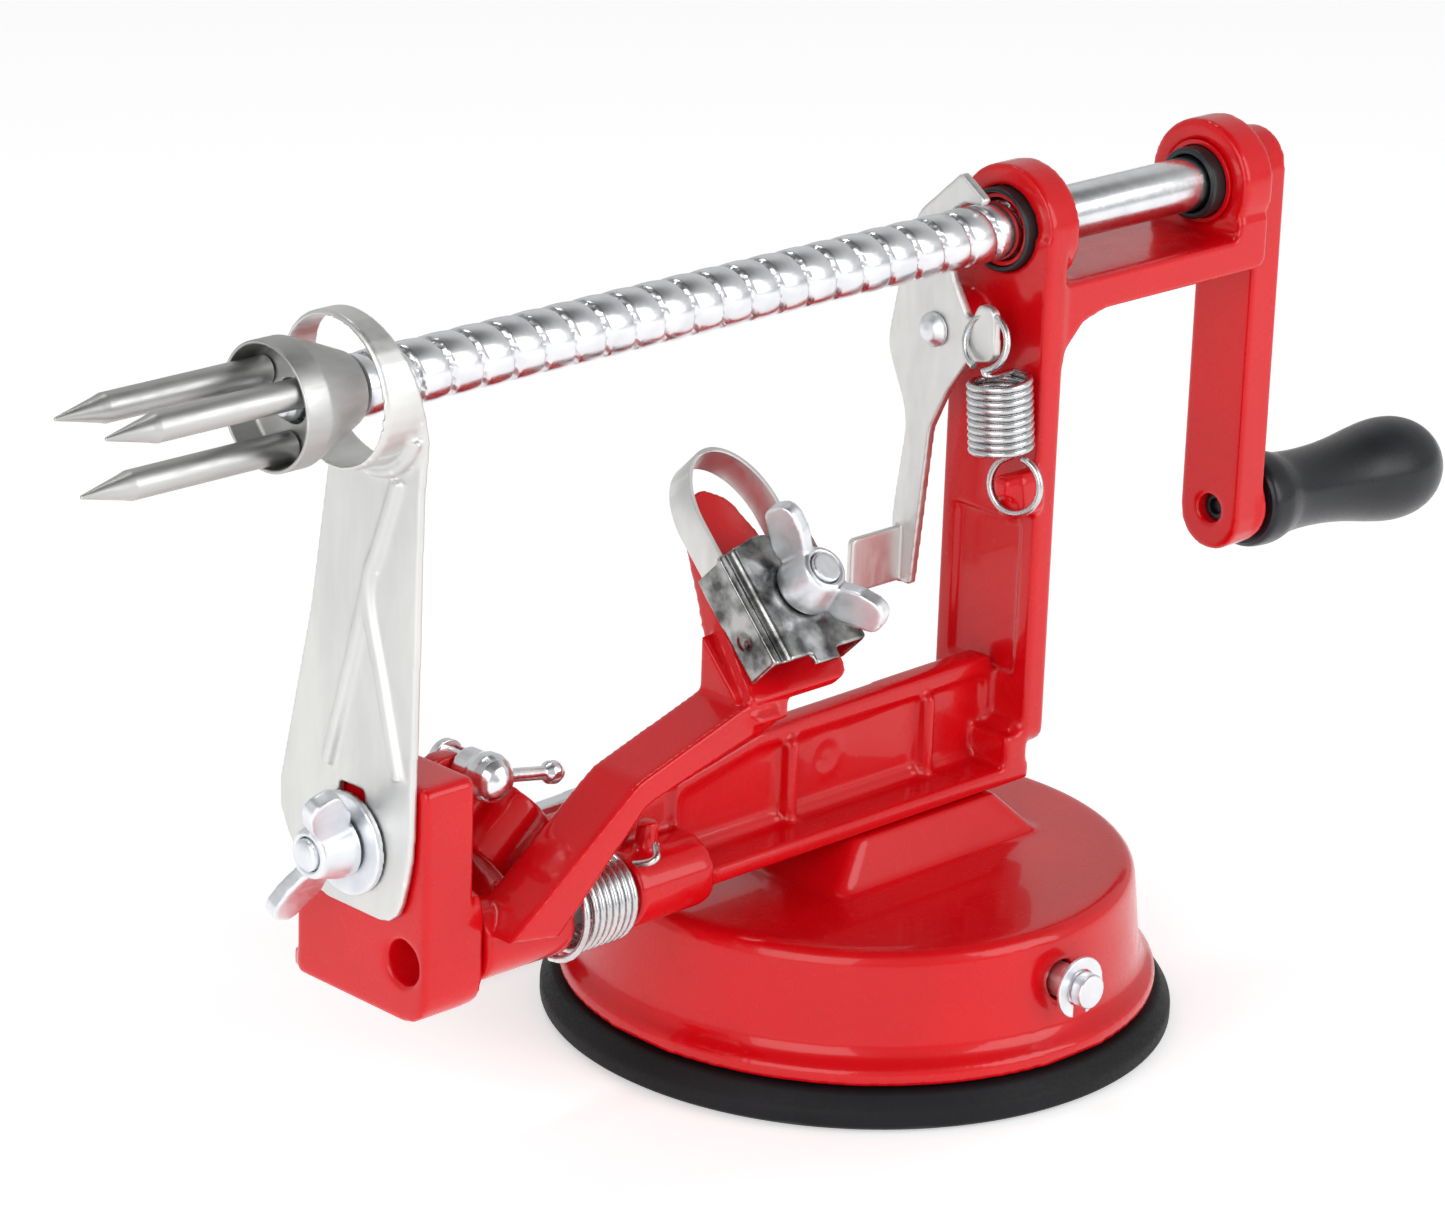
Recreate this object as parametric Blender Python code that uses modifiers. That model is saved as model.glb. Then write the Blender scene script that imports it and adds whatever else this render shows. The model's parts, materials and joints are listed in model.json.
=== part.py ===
"""Hand-cranked apple peeler, corer and slicer on a suction base.

Metres, +Z up.  The origin is the centre of the suction pad's underside, and the drive shaft runs along X:
the fork points to -X and the crank is at +X.  Sizes below are in millimetres and are scaled by MM.
"""
from math import acos, ceil, cos, pi, radians, sin, tan

import bmesh
import bpy
from mathutils import Matrix, Vector

MM = 0.001
FIT = 0.3                      # gap left between touching pieces

# Drive line
SHAFT_Z = 125.7                # height of the shaft's axis
THREAD_R = 4.8                 # outside of the coarse feed thread
SHAFT_R = 4.5                  # plain rear part of the shaft
SHAFT_FRONT, SHAFT_BACK = -117.4, 88.2
PRONG_TIP_X = -156.7
PRONG_R, PRONG_CIRCLE = 2.2, 6.5
FORK_RIM_X, FORK_FLOOR_X = -124.4, -119.4
FORK_R = 9.6
CRANK_X, CRANK_THICK = 81.6, 6.8
CRANK_LENGTH = 58.6            # shaft axis to handle pin
HANDLE_LENGTH = 50.4
HANDLE_DROOP = 3.2             # degrees that the handle pin leans down

# Frame
BEAM_Z0, BEAM_Z1 = 34.6, 54.0
BEAM_X0 = -56.0
HALF_WIDTH = 10.4
POST_X0, POST_X1 = 26.4, 31.2
ARCH_X1 = 80.6
ARCH_Z0, ARCH_Z1 = 112.0, 117.8
HUB_R, BUSH_R, BORE_R = 10.4, 6.8, 4.9

# Pivot rod shared by the peeler arm and the end block
ROD_Y, ROD_Z, ROD_R = -5.3, 36.7, 2.9
BLOCK_X0, BLOCK_X1 = -102.5, -93.0
BLOCK_Y0, BLOCK_Y1 = -10.5, 19.0
BLOCK_Z0, BLOCK_Z1 = 27.3, 65.4

# Slicer plate with its coring ring
PLATE_X0, PLATE_X1 = -104.2, -102.8
RING_X0, RING_R, RING_WALL = -112.0, 11.8, 0.8
SLICER_BOLT_Y, SLICER_BOLT_Z = 4.4, 53.6
CLAMP_X, CLAMP_Z = -81.0, 59.2
STOP_START, STOP_AXIS = (-79.4, 4.6, 43.8), (0.76, 0, 0.65)

# Peeler arm
SLEEVE_X0, SLEEVE_X1, SLEEVE_R = -90.4, -73.0, 6.2
ARM_THICK = 3.4
HEAD_ORIGIN = (-28.3, -6.9, 75.6)   # where the blade bolt leaves the head plate
HEAD_SLOPE = 46.0                   # degrees from +Y up to the head plate's long direction

# Release lever
LEVER_X0, LEVER_X1 = 19.0, 20.6
LEVER_PIVOT_Y, LEVER_PIVOT_Z = 6.6, 108.9

# Suction base
PAD_R, PAD_THICK = 51.5, 6.0
DOME_R, DOME_TOP, DOME_WALL = 46.0, 27.2, 2.6
CAM_Z, CAM_R = 18.4, 2.8
STEM_R = 7.0
SCREW_X, SCREW_Y = (-13.0, 11.5), 5.8


# ---------------------------------------------------------------- scene and materials

def clear_scene():
    for old in list(bpy.data.objects):
        bpy.data.objects.remove(old, do_unlink=True)


def collection(name):
    made = bpy.data.collections.new(name)
    bpy.context.scene.collection.children.link(made)
    return made


def finish_material(name, colour, roughness, metallic):
    made = bpy.data.materials.new(name)
    made.use_nodes = True
    shader = made.node_tree.nodes["Principled BSDF"]
    shader.inputs["Base Color"].default_value = (*colour, 1.0)
    shader.inputs["Roughness"].default_value = roughness
    shader.inputs["Metallic"].default_value = metallic
    return made


clear_scene()
PARTS = collection("apple_peeler_corer")
CUTTERS = collection("cutters")
RED = ((0.62, 0.015, 0.02), 0.18, 0.0)
STEEL = ((0.62, 0.62, 0.60), 0.38, 1.0)
CHROME = ((0.75, 0.76, 0.78), 0.12, 1.0)
DARK_STEEL = ((0.38, 0.39, 0.39), 0.25, 1.0)
ZINC = ((0.78, 0.80, 0.82), 0.30, 1.0)
RUBBER = ((0.03, 0.03, 0.035), 0.65, 0.0)
PLASTIC = ((0.02, 0.022, 0.028), 0.35, 0.0)
BUSHING = ((0.035, 0.05, 0.05), 0.45, 0.0)


def keep(obj, finish):
    """Makes the object a part of the product, with a material of its own."""
    PARTS.objects.link(obj)
    obj.data.materials.clear()
    obj.data.materials.append(finish_material(obj.name, *finish))
    return obj


def as_operand(obj):
    """Makes the object a helper that only a Boolean reads."""
    CUTTERS.objects.link(obj)
    obj.hide_render = True
    obj.display_type = "WIRE"
    return obj


# ---------------------------------------------------------------- shapes, in millimetres

def from_bmesh(name, bm):
    bmesh.ops.recalc_face_normals(bm, faces=bm.faces)
    mesh = bpy.data.meshes.new(name)
    bm.to_mesh(mesh)
    bm.free()
    return bpy.data.objects.new(name, mesh)


def box(name, low, high, bevel=0.0, top_low=None, top_high=None):
    """A box, or a frustum when the X and Y limits of its top face are given."""
    bm = bmesh.new()
    bmesh.ops.create_cube(bm, size=2.0)
    for vert in bm.verts:
        side = [(low, high)[c > 0] for c in vert.co]
        point = [side[axis][axis] for axis in range(3)]
        if top_low and vert.co.z > 0:
            point[0] = (top_low, top_high)[vert.co.x > 0][0]
            point[1] = (top_low, top_high)[vert.co.y > 0][1]
        vert.co = Vector(point) * MM
    made = from_bmesh(name, bm)
    if bevel:
        add_bevel(made, bevel)
    return made


def add_bevel(obj, width, segments=1, angle=50):
    bevel = obj.modifiers.new("round edges", "BEVEL")
    bevel.width = width * MM
    bevel.segments = segments
    bevel.limit_method = "ANGLE"
    bevel.angle_limit = radians(angle)


def frame_along(start, direction):
    """The matrix that puts local +Z along the direction, with its origin at start."""
    turn = Vector(direction).normalized().to_track_quat("Z", "Y").to_matrix().to_4x4()
    return Matrix.Translation(Vector(start) * MM) @ turn


def rod(name, start, end, radius, end_radius=None, sides=20):
    """A cylinder or cone between two points, with its origin at the first."""
    start, end = Vector(start), Vector(end)
    length = (end - start).length
    bm = bmesh.new()
    bmesh.ops.create_cone(bm, cap_ends=True, segments=sides, radius1=radius * MM,
                          radius2=(radius if end_radius is None else end_radius) * MM, depth=length * MM)
    bmesh.ops.translate(bm, verts=bm.verts, vec=(0, 0, length * MM / 2))
    made = from_bmesh(name, bm)
    made.matrix_world = frame_along(start, end - start)
    return made


def turned(name, profile, start=(0, 0, 0), direction=(0, 0, 1), sides=28):
    """A profile of (radius, distance along the axis) turned about the axis; a ring repeats its first point."""
    mesh = bpy.data.meshes.new(name)
    closed = profile[0] == profile[-1]
    points = profile[:-1] if closed else profile
    area = sum(points[i - 1][0] * points[i][1] - points[i][0] * points[i - 1][1] for i in range(len(points)))
    if area > 0:
        points = points[::-1]
    edges = [(i, i + 1) for i in range(len(points) - 1)]
    if closed:
        edges.append((len(points) - 1, 0))
    mesh.from_pydata([(r * MM, 0, z * MM) for r, z in points], edges, [])
    made = bpy.data.objects.new(name, mesh)
    made.matrix_world = frame_along(start, direction)
    screw = made.modifiers.new("turn", "SCREW")
    screw.steps = screw.render_steps = sides
    screw.use_merge_vertices = True
    screw.merge_threshold = 0.00001
    return made


def rounded(corners, step=30.0):
    """An outline from (x, y, radius) corners, with an arc at each corner that has a radius."""
    points = []
    for index, (x, y, radius) in enumerate(corners):
        here = Vector((x, y))
        before = Vector(corners[index - 1][:2]) - here
        after = Vector(corners[(index + 1) % len(corners)][:2]) - here
        if not radius:
            points.append((x, y))
            continue
        half = before.angle(after) / 2
        centre = here + (before.normalized() + after.normalized()).normalized() * (radius / sin(half))
        first = here + before.normalized() * (radius / tan(half)) - centre
        last = here + after.normalized() * (radius / tan(half)) - centre
        swing = first.angle_signed(last)
        count = max(2, ceil(abs(swing) / radians(step)))
        for n in range(count + 1):
            turned_point = first.copy()
            turned_point.rotate(Matrix.Rotation(-swing * n / count, 2))
            points.append(tuple(centre + turned_point))
    return points


def circle(x, y, radius, sides=24):
    return [(x + radius * cos(2 * pi * n / sides), y + radius * sin(2 * pi * n / sides)) for n in range(sides)]


PLANES = {
    "XY": Matrix(((1, 0, 0), (0, 1, 0), (0, 0, 1))).to_4x4(),
    "YZ": Matrix(((0, 0, 1), (1, 0, 0), (0, 1, 0))).to_4x4(),
    "XZ": Matrix(((1, 0, 0), (0, 0, -1), (0, 1, 0))).to_4x4(),
}


def head_plane():
    """Local X along the shaft, local Y up the peeler head's slope, local Z out of the head plate."""
    slope = radians(HEAD_SLOPE)
    turn = Matrix(((1, 0, 0), (0, cos(slope), -sin(slope)), (0, sin(slope), cos(slope))))
    return Matrix.Translation(Vector(HEAD_ORIGIN) * MM) @ turn.to_4x4()


def plate(name, outline, low, high, plane="XY", holes=(), bevel=0.0):
    """A flat outline with holes, extruded from low to high along the plane's normal."""
    data = bpy.data.curves.new(name, "CURVE")
    data.dimensions = "2D"
    data.fill_mode = "BOTH"
    data.extrude = abs(high - low) / 2 * MM
    for ring in (outline, *holes):
        spline = data.splines.new("POLY")
        spline.points.add(len(ring) - 1)
        for point, (x, y) in zip(spline.points, ring):
            point.co = (x * MM, y * MM, 0, 1)
        spline.use_cyclic_u = True
    curve = bpy.data.objects.new(name + "_outline", data)
    frame = PLANES[plane] if isinstance(plane, str) else plane
    middle = (low + high) / 2 * (-1 if plane == "XZ" else 1)
    made = mesh_of(curve, name)
    made.matrix_world = frame @ Matrix.Translation((0, 0, middle * MM))
    if bevel:
        add_bevel(made, bevel)
    return made


def mesh_of(curve, name):
    """The curve object's surface as a welded mesh object."""
    bpy.context.scene.collection.objects.link(curve)
    graph = bpy.context.evaluated_depsgraph_get()
    mesh = bpy.data.meshes.new_from_object(curve.evaluated_get(graph))
    bpy.data.objects.remove(curve, do_unlink=True)
    bm = bmesh.new()
    bm.from_mesh(mesh)
    bmesh.ops.remove_doubles(bm, verts=bm.verts, dist=0.000001)
    bpy.data.meshes.remove(mesh)
    return from_bmesh(name, bm)


def wire(name, points, radius, resolution=1):
    """A round wire along the points."""
    data = bpy.data.curves.new(name, "CURVE")
    data.dimensions = "3D"
    data.bevel_depth = radius * MM
    data.bevel_resolution = resolution
    data.use_fill_caps = True
    spline = data.splines.new("POLY")
    spline.points.add(len(points) - 1)
    for point, place in zip(spline.points, points):
        point.co = (*(Vector(place) * MM), 1)
    return bpy.data.objects.new(name, data)


def helix(centre, direction, radius, pitch, turns, per_turn=10, start_angle=0.0):
    """Points of a coil about an axis through the centre."""
    turn = Vector(direction).normalized().to_track_quat("Z", "Y").to_matrix()
    count = round(turns * per_turn)
    return [Vector(centre) + turn @ Vector((radius * cos(start_angle + 2 * pi * n / per_turn),
                                            radius * sin(start_angle + 2 * pi * n / per_turn),
                                            pitch * n / per_turn)) for n in range(count + 1)]


def combine(obj, operation, others):
    for other in others:
        as_operand(other)
        boolean = obj.modifiers.new(operation.lower(), "BOOLEAN")
        boolean.operation = operation
        boolean.object = other
    return obj


def join(obj, *others):
    return combine(obj, "UNION", others)


def cut(obj, *others):
    return combine(obj, "DIFFERENCE", others)


def pivot(name, place, pieces):
    """Hangs moving pieces, with the helpers that shape them, from an empty on their joint's axis."""
    empty = bpy.data.objects.new(name, None)
    empty.location = Vector(place) * MM
    PARTS.objects.link(empty)
    bpy.context.view_layer.update()
    for piece in pieces:
        operands = [m.object for m in piece.modifiers if m.type == "BOOLEAN"]
        for obj in (piece, *operands):
            obj.parent = empty
            obj.matrix_parent_inverse = empty.matrix_world.inverted()
    return empty


# ---------------------------------------------------------------- suction base

def base_casting():
    """The domed base: an open shell with a rim flange, and a hollow-drilled pedestal for the frame."""
    inner = DOME_R - DOME_WALL
    shell = turned("base_casting", [
        (0, DOME_TOP), (41.6, DOME_TOP), (43.6, DOME_TOP - 0.8), (44.8, DOME_TOP - 2.6), (DOME_R, 10.6),
        (46.9, 9.2), (48.2, 8.5), (48.6, 7.6), (48.6, PAD_THICK + FIT), (inner, PAD_THICK + FIT),
        (inner - 1.4, DOME_TOP - DOME_WALL), (0, DOME_TOP - DOME_WALL)], sides=56)
    pedestal = box("pedestal", (-20.5, -15.2, DOME_TOP - 1), (28.5, 15.2, BEAM_Z0 - FIT),
                   top_low=(-20.0, -10.6), top_high=(20.0, 10.6))
    guide = rod("stem_guide", (0, 0, CAM_Z + 4.4), (0, 0, DOME_TOP - 1), STEM_R + 3.0)
    guide_bore = rod("stem_bore", (0, 0, CAM_Z), (0, 0, DOME_TOP + 2.4), STEM_R + 0.1)
    cam_bore = rod("cam_bore", (0, -60, CAM_Z), (0, 60, CAM_Z), CAM_R + 0.1)
    clip_recess = rod("clip_recess", (0, -60, CAM_Z), (0, -44.6, CAM_Z), CAM_R + 1.5)
    screw_bores = [rod("frame_screw_bore", (x, SCREW_Y, DOME_TOP - 6), (x, SCREW_Y, BEAM_Z0 + 1), 2.5, sides=16)
                   for x in SCREW_X]
    return cut(join(shell, pedestal, guide), guide_bore, cam_bore, clip_recess, *screw_bores)


def suction_pad():
    return turned("suction_pad", [
        (0, 3.4), (40.5, 3.4), (42.0, PAD_THICK), (49.6, PAD_THICK), (51.0, 4.9), (PAD_R, 3.0),
        (51.2, 0.9), (49.8, 0), (0, 0)], sides=56)


def pad_stem():
    """The stem that lifts the middle of the pad, slotted for the cam."""
    stem = turned("pad_stem", [
        (0, 25.6), (STEM_R, 25.6), (STEM_R, 5.4), (15.0, 5.0), (15.0, 3.7), (0, 3.7)], sides=24)
    slot = box("cam_slot", (-5.8, -20, CAM_Z - 5.8), (4.6, 20, CAM_Z + 4.2))
    return cut(stem, slot)


def cam_shaft():
    """The cross shaft, with an eccentric lobe inside the stem's slot and a flat end for the lever."""
    shaft = rod("cam_shaft", (0, -51.2, CAM_Z), (0, 51.0, CAM_Z), CAM_R, sides=20)
    lobe = rod("cam_lobe", (0, -4.5, CAM_Z - 1.2), (0, 4.5, CAM_Z - 1.2), 4.1, sides=20)
    groove = turned("clip_groove", [(4, 0.9), (4, 0), (2.1, 0), (2.1, 0.9), (4, 0.9)],
                    (0, -48.9, CAM_Z), (0, 1, 0), sides=20)
    return cut(join(shaft, lobe), groove)


def e_clip():
    clip = plate("e_clip", circle(0, CAM_Z, 5.0), -48.8, -48.1, "XZ", [circle(0, CAM_Z, CAM_R + 0.2, 16)])
    mouth = box("clip_mouth", (-1.5, -50, CAM_Z - 7), (1.5, -46, CAM_Z - 1))
    return cut(clip, mouth)


def suction_lever():
    """A flat lever on the far end of the cam shaft, lying back along the base."""
    low, high = 51.4, 54.4
    outline = rounded([(-6.5, CAM_Z - 6.0, 5.5), (6.5, CAM_Z - 6.0, 5.5), (6.5, CAM_Z + 6.0, 5.5),
                       (-40.0, CAM_Z + 4.0, 3.5), (-40.0, CAM_Z - 4.0, 3.5)])
    return plate("suction_lever", outline, low, high, "XZ", bevel=0.5)


def lever_boss():
    return turned("lever_boss", [(4.6, 4.0), (5.0, 0), (3.1, 0), (3.1, 4.0), (4.6, 4.0)],
                  (0, 47.0, CAM_Z), (0, 1, 0), sides=24)


def lever_grip():
    outline = rounded([(-27.0, CAM_Z - 5.6, 2.0), (-27.0, CAM_Z + 5.6, 2.0),
                       (-47.0, CAM_Z + 5.2, 4.5), (-47.0, CAM_Z - 5.2, 4.5)])
    grip = plate("lever_grip", outline, 50.0, 56.0, "XZ", bevel=0.8)
    pocket = box("grip_pocket", (-40.3, 51.1, CAM_Z - 4.9), (-20.0, 54.7, CAM_Z + 5.3))
    return cut(grip, pocket)


def frame_screw(name, x):
    """A cap screw down through the beam's flange into the pedestal, behind the web."""
    head_z = BEAM_Z0 + 3.0 + FIT
    return turned(name, [(0, head_z + 2.6), (3.0, head_z + 2.3), (3.4, head_z), (2.2, head_z),
                         (2.2, DOME_TOP - 5.0), (0, DOME_TOP - 5.0)], (x, SCREW_Y, 0), sides=20)


# ---------------------------------------------------------------- frame casting

def beam_pieces():
    flange = box("beam_flange", (BEAM_X0, -HALF_WIDTH, BEAM_Z0), (POST_X1 - 3.0, HALF_WIDTH, BEAM_Z0 + 3.0))
    web = plate("beam_web", rounded([(BEAM_X0, BEAM_Z0 + 1, 0), (POST_X1 - 1, BEAM_Z0 + 1, 0),
                                     (POST_X1 - 1, BEAM_Z1 + 1, 0), (-27.0, BEAM_Z1, 4.0),
                                     (BEAM_X0, 47.0, 4.0)]), -2.2, 1.2, "XZ")
    ribs = [box("beam_rib", (x - 1.3, -4.6, BEAM_Z0 + 2), (x + 1.3, -1.0, 51.6), bevel=0.7)
            for x in (-20.3, 10.6)]
    toe = box("beam_toe", (POST_X0 - 4.0, -HALF_WIDTH, BEAM_Z0 + 0.6), (POST_X0 + 1.0, HALF_WIDTH, 43.0))
    return [flange, web, toe, *ribs]


def post_pieces():
    """The upright plate with its bearing hub, pivot boss and spring lug."""
    post = plate("post", rounded([(-HALF_WIDTH, BEAM_Z0 + 5.5, 3.0), (HALF_WIDTH, BEAM_Z0 + 5.5, 3.0),
                                  (HALF_WIDTH, SHAFT_Z, 0), (-HALF_WIDTH, SHAFT_Z, 0)]),
                 POST_X0, POST_X1, "YZ", bevel=0.8)
    heel = box("post_heel", (POST_X0 - 2.0, -HALF_WIDTH + 0.4, BEAM_Z0 + 0.8),
               (POST_X1 - 2.4, HALF_WIDTH - 0.4, BEAM_Z0 + 10), bevel=1.4)
    hub = rod("front_hub", (POST_X0 + 0.5, 0, SHAFT_Z), (POST_X0 + 7.2, 0, SHAFT_Z), HUB_R, sides=36)
    boss = rod("lever_boss_pad", (LEVER_X1 + 0.5, LEVER_PIVOT_Y, LEVER_PIVOT_Z),
               (POST_X0 + 1, LEVER_PIVOT_Y, LEVER_PIVOT_Z), 5.2, 6.4)
    lug = box("spring_lug", (20.4, -11.2, 80.6), (POST_X0 + 1, -7.0, 85.6), bevel=0.6)
    lug_tip = box("spring_lug_tip", (19.0, -11.0, 84.4), (21.6, -7.2, 88.0), bevel=0.6)
    return [post, heel, hub, boss, lug, lug_tip]


def arch_pieces():
    """The bridge behind the post, filleted into it, and the rear bearing hub."""
    bridge = plate("bridge", rounded([(POST_X0 + 1.5, 98.0, 0), (POST_X1 - 0.6, 98.0, 0),
                                      (POST_X1 - 0.2, ARCH_Z0, 10.5), (ARCH_X1 - 0.3, ARCH_Z0, 2.0),
                                      (ARCH_X1 - 0.3, ARCH_Z1 + 3, 0), (ARCH_X1 - 7.2, ARCH_Z1 + 3, 0),
                                      (ARCH_X1 - 7.2, ARCH_Z1, 1.5), (POST_X0 + 1.5, ARCH_Z1, 0)]),
                   -10.0, 10.0, "XZ", bevel=0.6)
    hub = rod("rear_hub", (ARCH_X1 - 7.0, 0, SHAFT_Z), (ARCH_X1, 0, SHAFT_Z), HUB_R, sides=36)
    return [bridge, hub]


def left_end_pieces():
    """The rod boss at the beam's end, the spring knob, and the cheek that reaches back to the end block."""
    boss = rod("rod_boss", (BEAM_X0 - 3.4, ROD_Y, ROD_Z), (-44.0, ROD_Y, ROD_Z), 6.2)
    knob = rod("spring_knob", (-53.6, -5.4, 41.0), (-53.6, -6.2, 47.2), 2.0, 1.7, sides=12)
    cheek = box("cheek", (-90.4, 4.4, 33.0), (BEAM_X0 + 14, 9.6, 45.5), bevel=1.0)
    ear = plate("clamp_ear", rounded([(-88.2, 44.0, 0), (-76.0, 44.0, 0), (-76.4, 61.6, 4.4),
                                      (-88.2, 61.6, 3.0)]), 5.4, 9.0, "XZ")
    tube = rod("stop_tube", STOP_START, stop_point(11.8), 5.6)
    return [boss, knob, cheek, ear, tube]


def frame_casting():
    """One red casting: beam, post, bridge, both bearing hubs and the end cheek."""
    first, *others = [*beam_pieces(), *post_pieces(), *arch_pieces(), *left_end_pieces()]
    first.name = first.data.name = "frame_casting"
    join(first, *others)
    shaft_bores = [rod("bush_bore", (x0, 0, SHAFT_Z), (x1, 0, SHAFT_Z), BUSH_R + 0.1, sides=32)
                   for x0, x1 in ((POST_X0 - 2, POST_X0 + 9), (ARCH_X1 - 12, ARCH_X1 + 2))]
    rod_bore = rod("rod_bore", (BEAM_X0 - 5, ROD_Y, ROD_Z), (-45.6, ROD_Y, ROD_Z), ROD_R + 0.1)
    panel = box("post_panel", (POST_X0 - 1, -7.2, 52.0), (POST_X0 + 1.0, 7.4, 78.4))
    lever_bore = rod("lever_bore", (0, LEVER_PIVOT_Y, LEVER_PIVOT_Z), (26.0, LEVER_PIVOT_Y, LEVER_PIVOT_Z),
                     2.1, sides=16)
    lug_bore = box("lug_notch", (18.0, -14, 85.6), (18.9, -4, 90.0))
    stop_bore = rod("stop_bore", stop_point(1.8), stop_point(14.0), 3.5)
    clamp_bore = rod("clamp_bore", (CLAMP_X, 0, CLAMP_Z), (CLAMP_X, 12, CLAMP_Z), 2.4, sides=16)
    screw_bores = [rod("screw_bore", (x, SCREW_Y, BEAM_Z0 - 1), (x, SCREW_Y, BEAM_Z0 + 8), 2.5, sides=16)
                   for x in SCREW_X]
    return cut(first, *shaft_bores, rod_bore, panel, lever_bore, lug_bore, stop_bore, clamp_bore, *screw_bores)


def bush(name, front, back, collar):
    """A flanged sleeve: the collar stands in front of the hub."""
    bore = BORE_R
    return turned(name, [(BUSH_R, back), (BUSH_R, front), (BUSH_R, front - collar), (bore, front - collar),
                         (bore, back), (BUSH_R, back)], (0, 0, SHAFT_Z), (1, 0, 0), sides=32)


# ---------------------------------------------------------------- end block and slicer

def end_block():
    block = plate("end_block", rounded([(BLOCK_Y0, BLOCK_Z0, 5.0), (BLOCK_Y1, BLOCK_Z0, 1.0),
                                        (BLOCK_Y1, BLOCK_Z1, 1.5), (BLOCK_Y0, BLOCK_Z1, 1.5)]),
                  BLOCK_X0, BLOCK_X1, "YZ", bevel=0.6)
    lip = box("block_lip", (BLOCK_X0 + 0.8, BLOCK_Y1 - 1, BLOCK_Z0 + 0.4), (BLOCK_X1 - 1, BLOCK_Y1 + 1.6, 30.8))
    boss = rod("block_boss", (BLOCK_X0 + 2, -1.4, 36.7), (-90.8, -1.4, 36.7), 9.0, sides=32)
    rod_bore = rod("block_bore", (-110, ROD_Y, ROD_Z), (-88, ROD_Y, ROD_Z), 3.5)
    bolt_bore = rod("slicer_bore", (-110, SLICER_BOLT_Y, SLICER_BOLT_Z), (-88, SLICER_BOLT_Y, SLICER_BOLT_Z), 2.9)
    return cut(join(block, lip, boss), rod_bore, bolt_bore)


def pivot_rod():
    return turned("pivot_rod", [(0, 54.0), (2.3, 54.0), (ROD_R, 53.4), (ROD_R, 0.6), (2.3, 0), (0, 0)],
                  (-99.8, ROD_Y, ROD_Z), (1, 0, 0), sides=20)


def slicer_plate():
    """The long steel blade holder, drawn out at the top into the sharp coring ring."""
    outline = rounded([(-5.8, 43.0, 5.0), (12.8, 43.0, 7.0), (22.0, 54.0, 10.0), (14.0, 88.0, 30.0),
                       (9.5, 116.0, 4.0), (11.0, 125.7, 9.0), (5.0, 136.0, 9.5), (-5.0, 136.0, 9.5),
                       (-11.6, 125.7, 9.0), (-10.0, 110.0, 30.0), (-9.6, 88.0, 40.0), (-8.8, 54.0, 30.0)])
    slot = rounded([(SLICER_BOLT_Y - 2.8, SLICER_BOLT_Z - 4.6, 2.7), (SLICER_BOLT_Y + 2.8, SLICER_BOLT_Z - 4.6, 2.7),
                    (SLICER_BOLT_Y + 2.8, SLICER_BOLT_Z + 11.6, 2.7), (SLICER_BOLT_Y - 2.8, SLICER_BOLT_Z + 11.6, 2.7)])
    steel = plate("slicer_plate", outline, PLATE_X0, PLATE_X1, "YZ", [slot])
    inner = RING_R - RING_WALL
    ring = turned("coring_ring", [(RING_R, 8.6), (RING_R, 0.9), (inner + 0.2, 0), (inner, 0), (inner, 8.6),
                                  (RING_R, 8.6)], (RING_X0, 0, SHAFT_Z), (1, 0, 0), sides=36)
    opening = rod("ring_opening", (-120, 0, SHAFT_Z), (-95, 0, SHAFT_Z), inner, sides=36)
    return cut(join(steel, ring), opening)


def slicer_bolt():
    bolt = rod("slicer_bolt", (-90.6, SLICER_BOLT_Y, SLICER_BOLT_Z), (-117.0, SLICER_BOLT_Y, SLICER_BOLT_Z), 2.5,
               sides=20)
    head = rod("slicer_bolt_head", (-92.7, SLICER_BOLT_Y, SLICER_BOLT_Z), (-88.6, SLICER_BOLT_Y, SLICER_BOLT_Z), 4.4,
               sides=6)
    return join(bolt, head)


def slicer_washer():
    return turned("slicer_washer", [(8.0, 1.2), (8.0, 0), (2.8, 0), (2.8, 1.2), (8.0, 1.2)],
                  (PLATE_X0 - FIT, SLICER_BOLT_Y, SLICER_BOLT_Z), (-1, 0, 0), sides=28)


def stop_point(distance):
    """A point on the stop screw's sloping axis."""
    return Vector(STOP_START) + Vector(STOP_AXIS).normalized() * distance


def stop_screw():
    return turned("stop_screw", [(0, 7.8), (2.6, 7.8), (3.2, 7.0), (3.2, 0), (0, 0)], stop_point(2.2), STOP_AXIS,
                  sides=18)


def clamp_screw():
    return turned("clamp_screw", [(0, 12.6), (2.1, 12.6), (2.1, 3.2), (4.6, 3.2), (4.6, 0.6), (3.8, 0), (0, 0)],
                  (CLAMP_X, 12.6, CLAMP_Z), (0, -1, 0), sides=20)


def clamp_lever():
    """The chrome thumb lever: a ball hub on the clamp screw, with a thin bar that ends in a bead."""
    ball = [(3.95 * sin(radians(a)), 4.9 - 3.95 * cos(radians(a))) for a in range(60, 180, 20)]
    hub = turned("clamp_lever", [(0, 5.6), (2.2, 5.6), (2.2, 0), (3.4, 0), *ball, (0, 8.85)],
                 (CLAMP_X, 5.1, CLAMP_Z), (0, -1, 0), sides=24)
    bar = turned("clamp_bar", [(0, 0), (1.1, 0), (1.1, 8.6), (1.8, 9.6), (1.9, 11.0), (1.2, 12.2), (0, 12.6)],
                 (CLAMP_X + 2.6, 0.2, CLAMP_Z - 0.5), (1, 0, -0.19), sides=16)
    return join(hub, bar)


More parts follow.
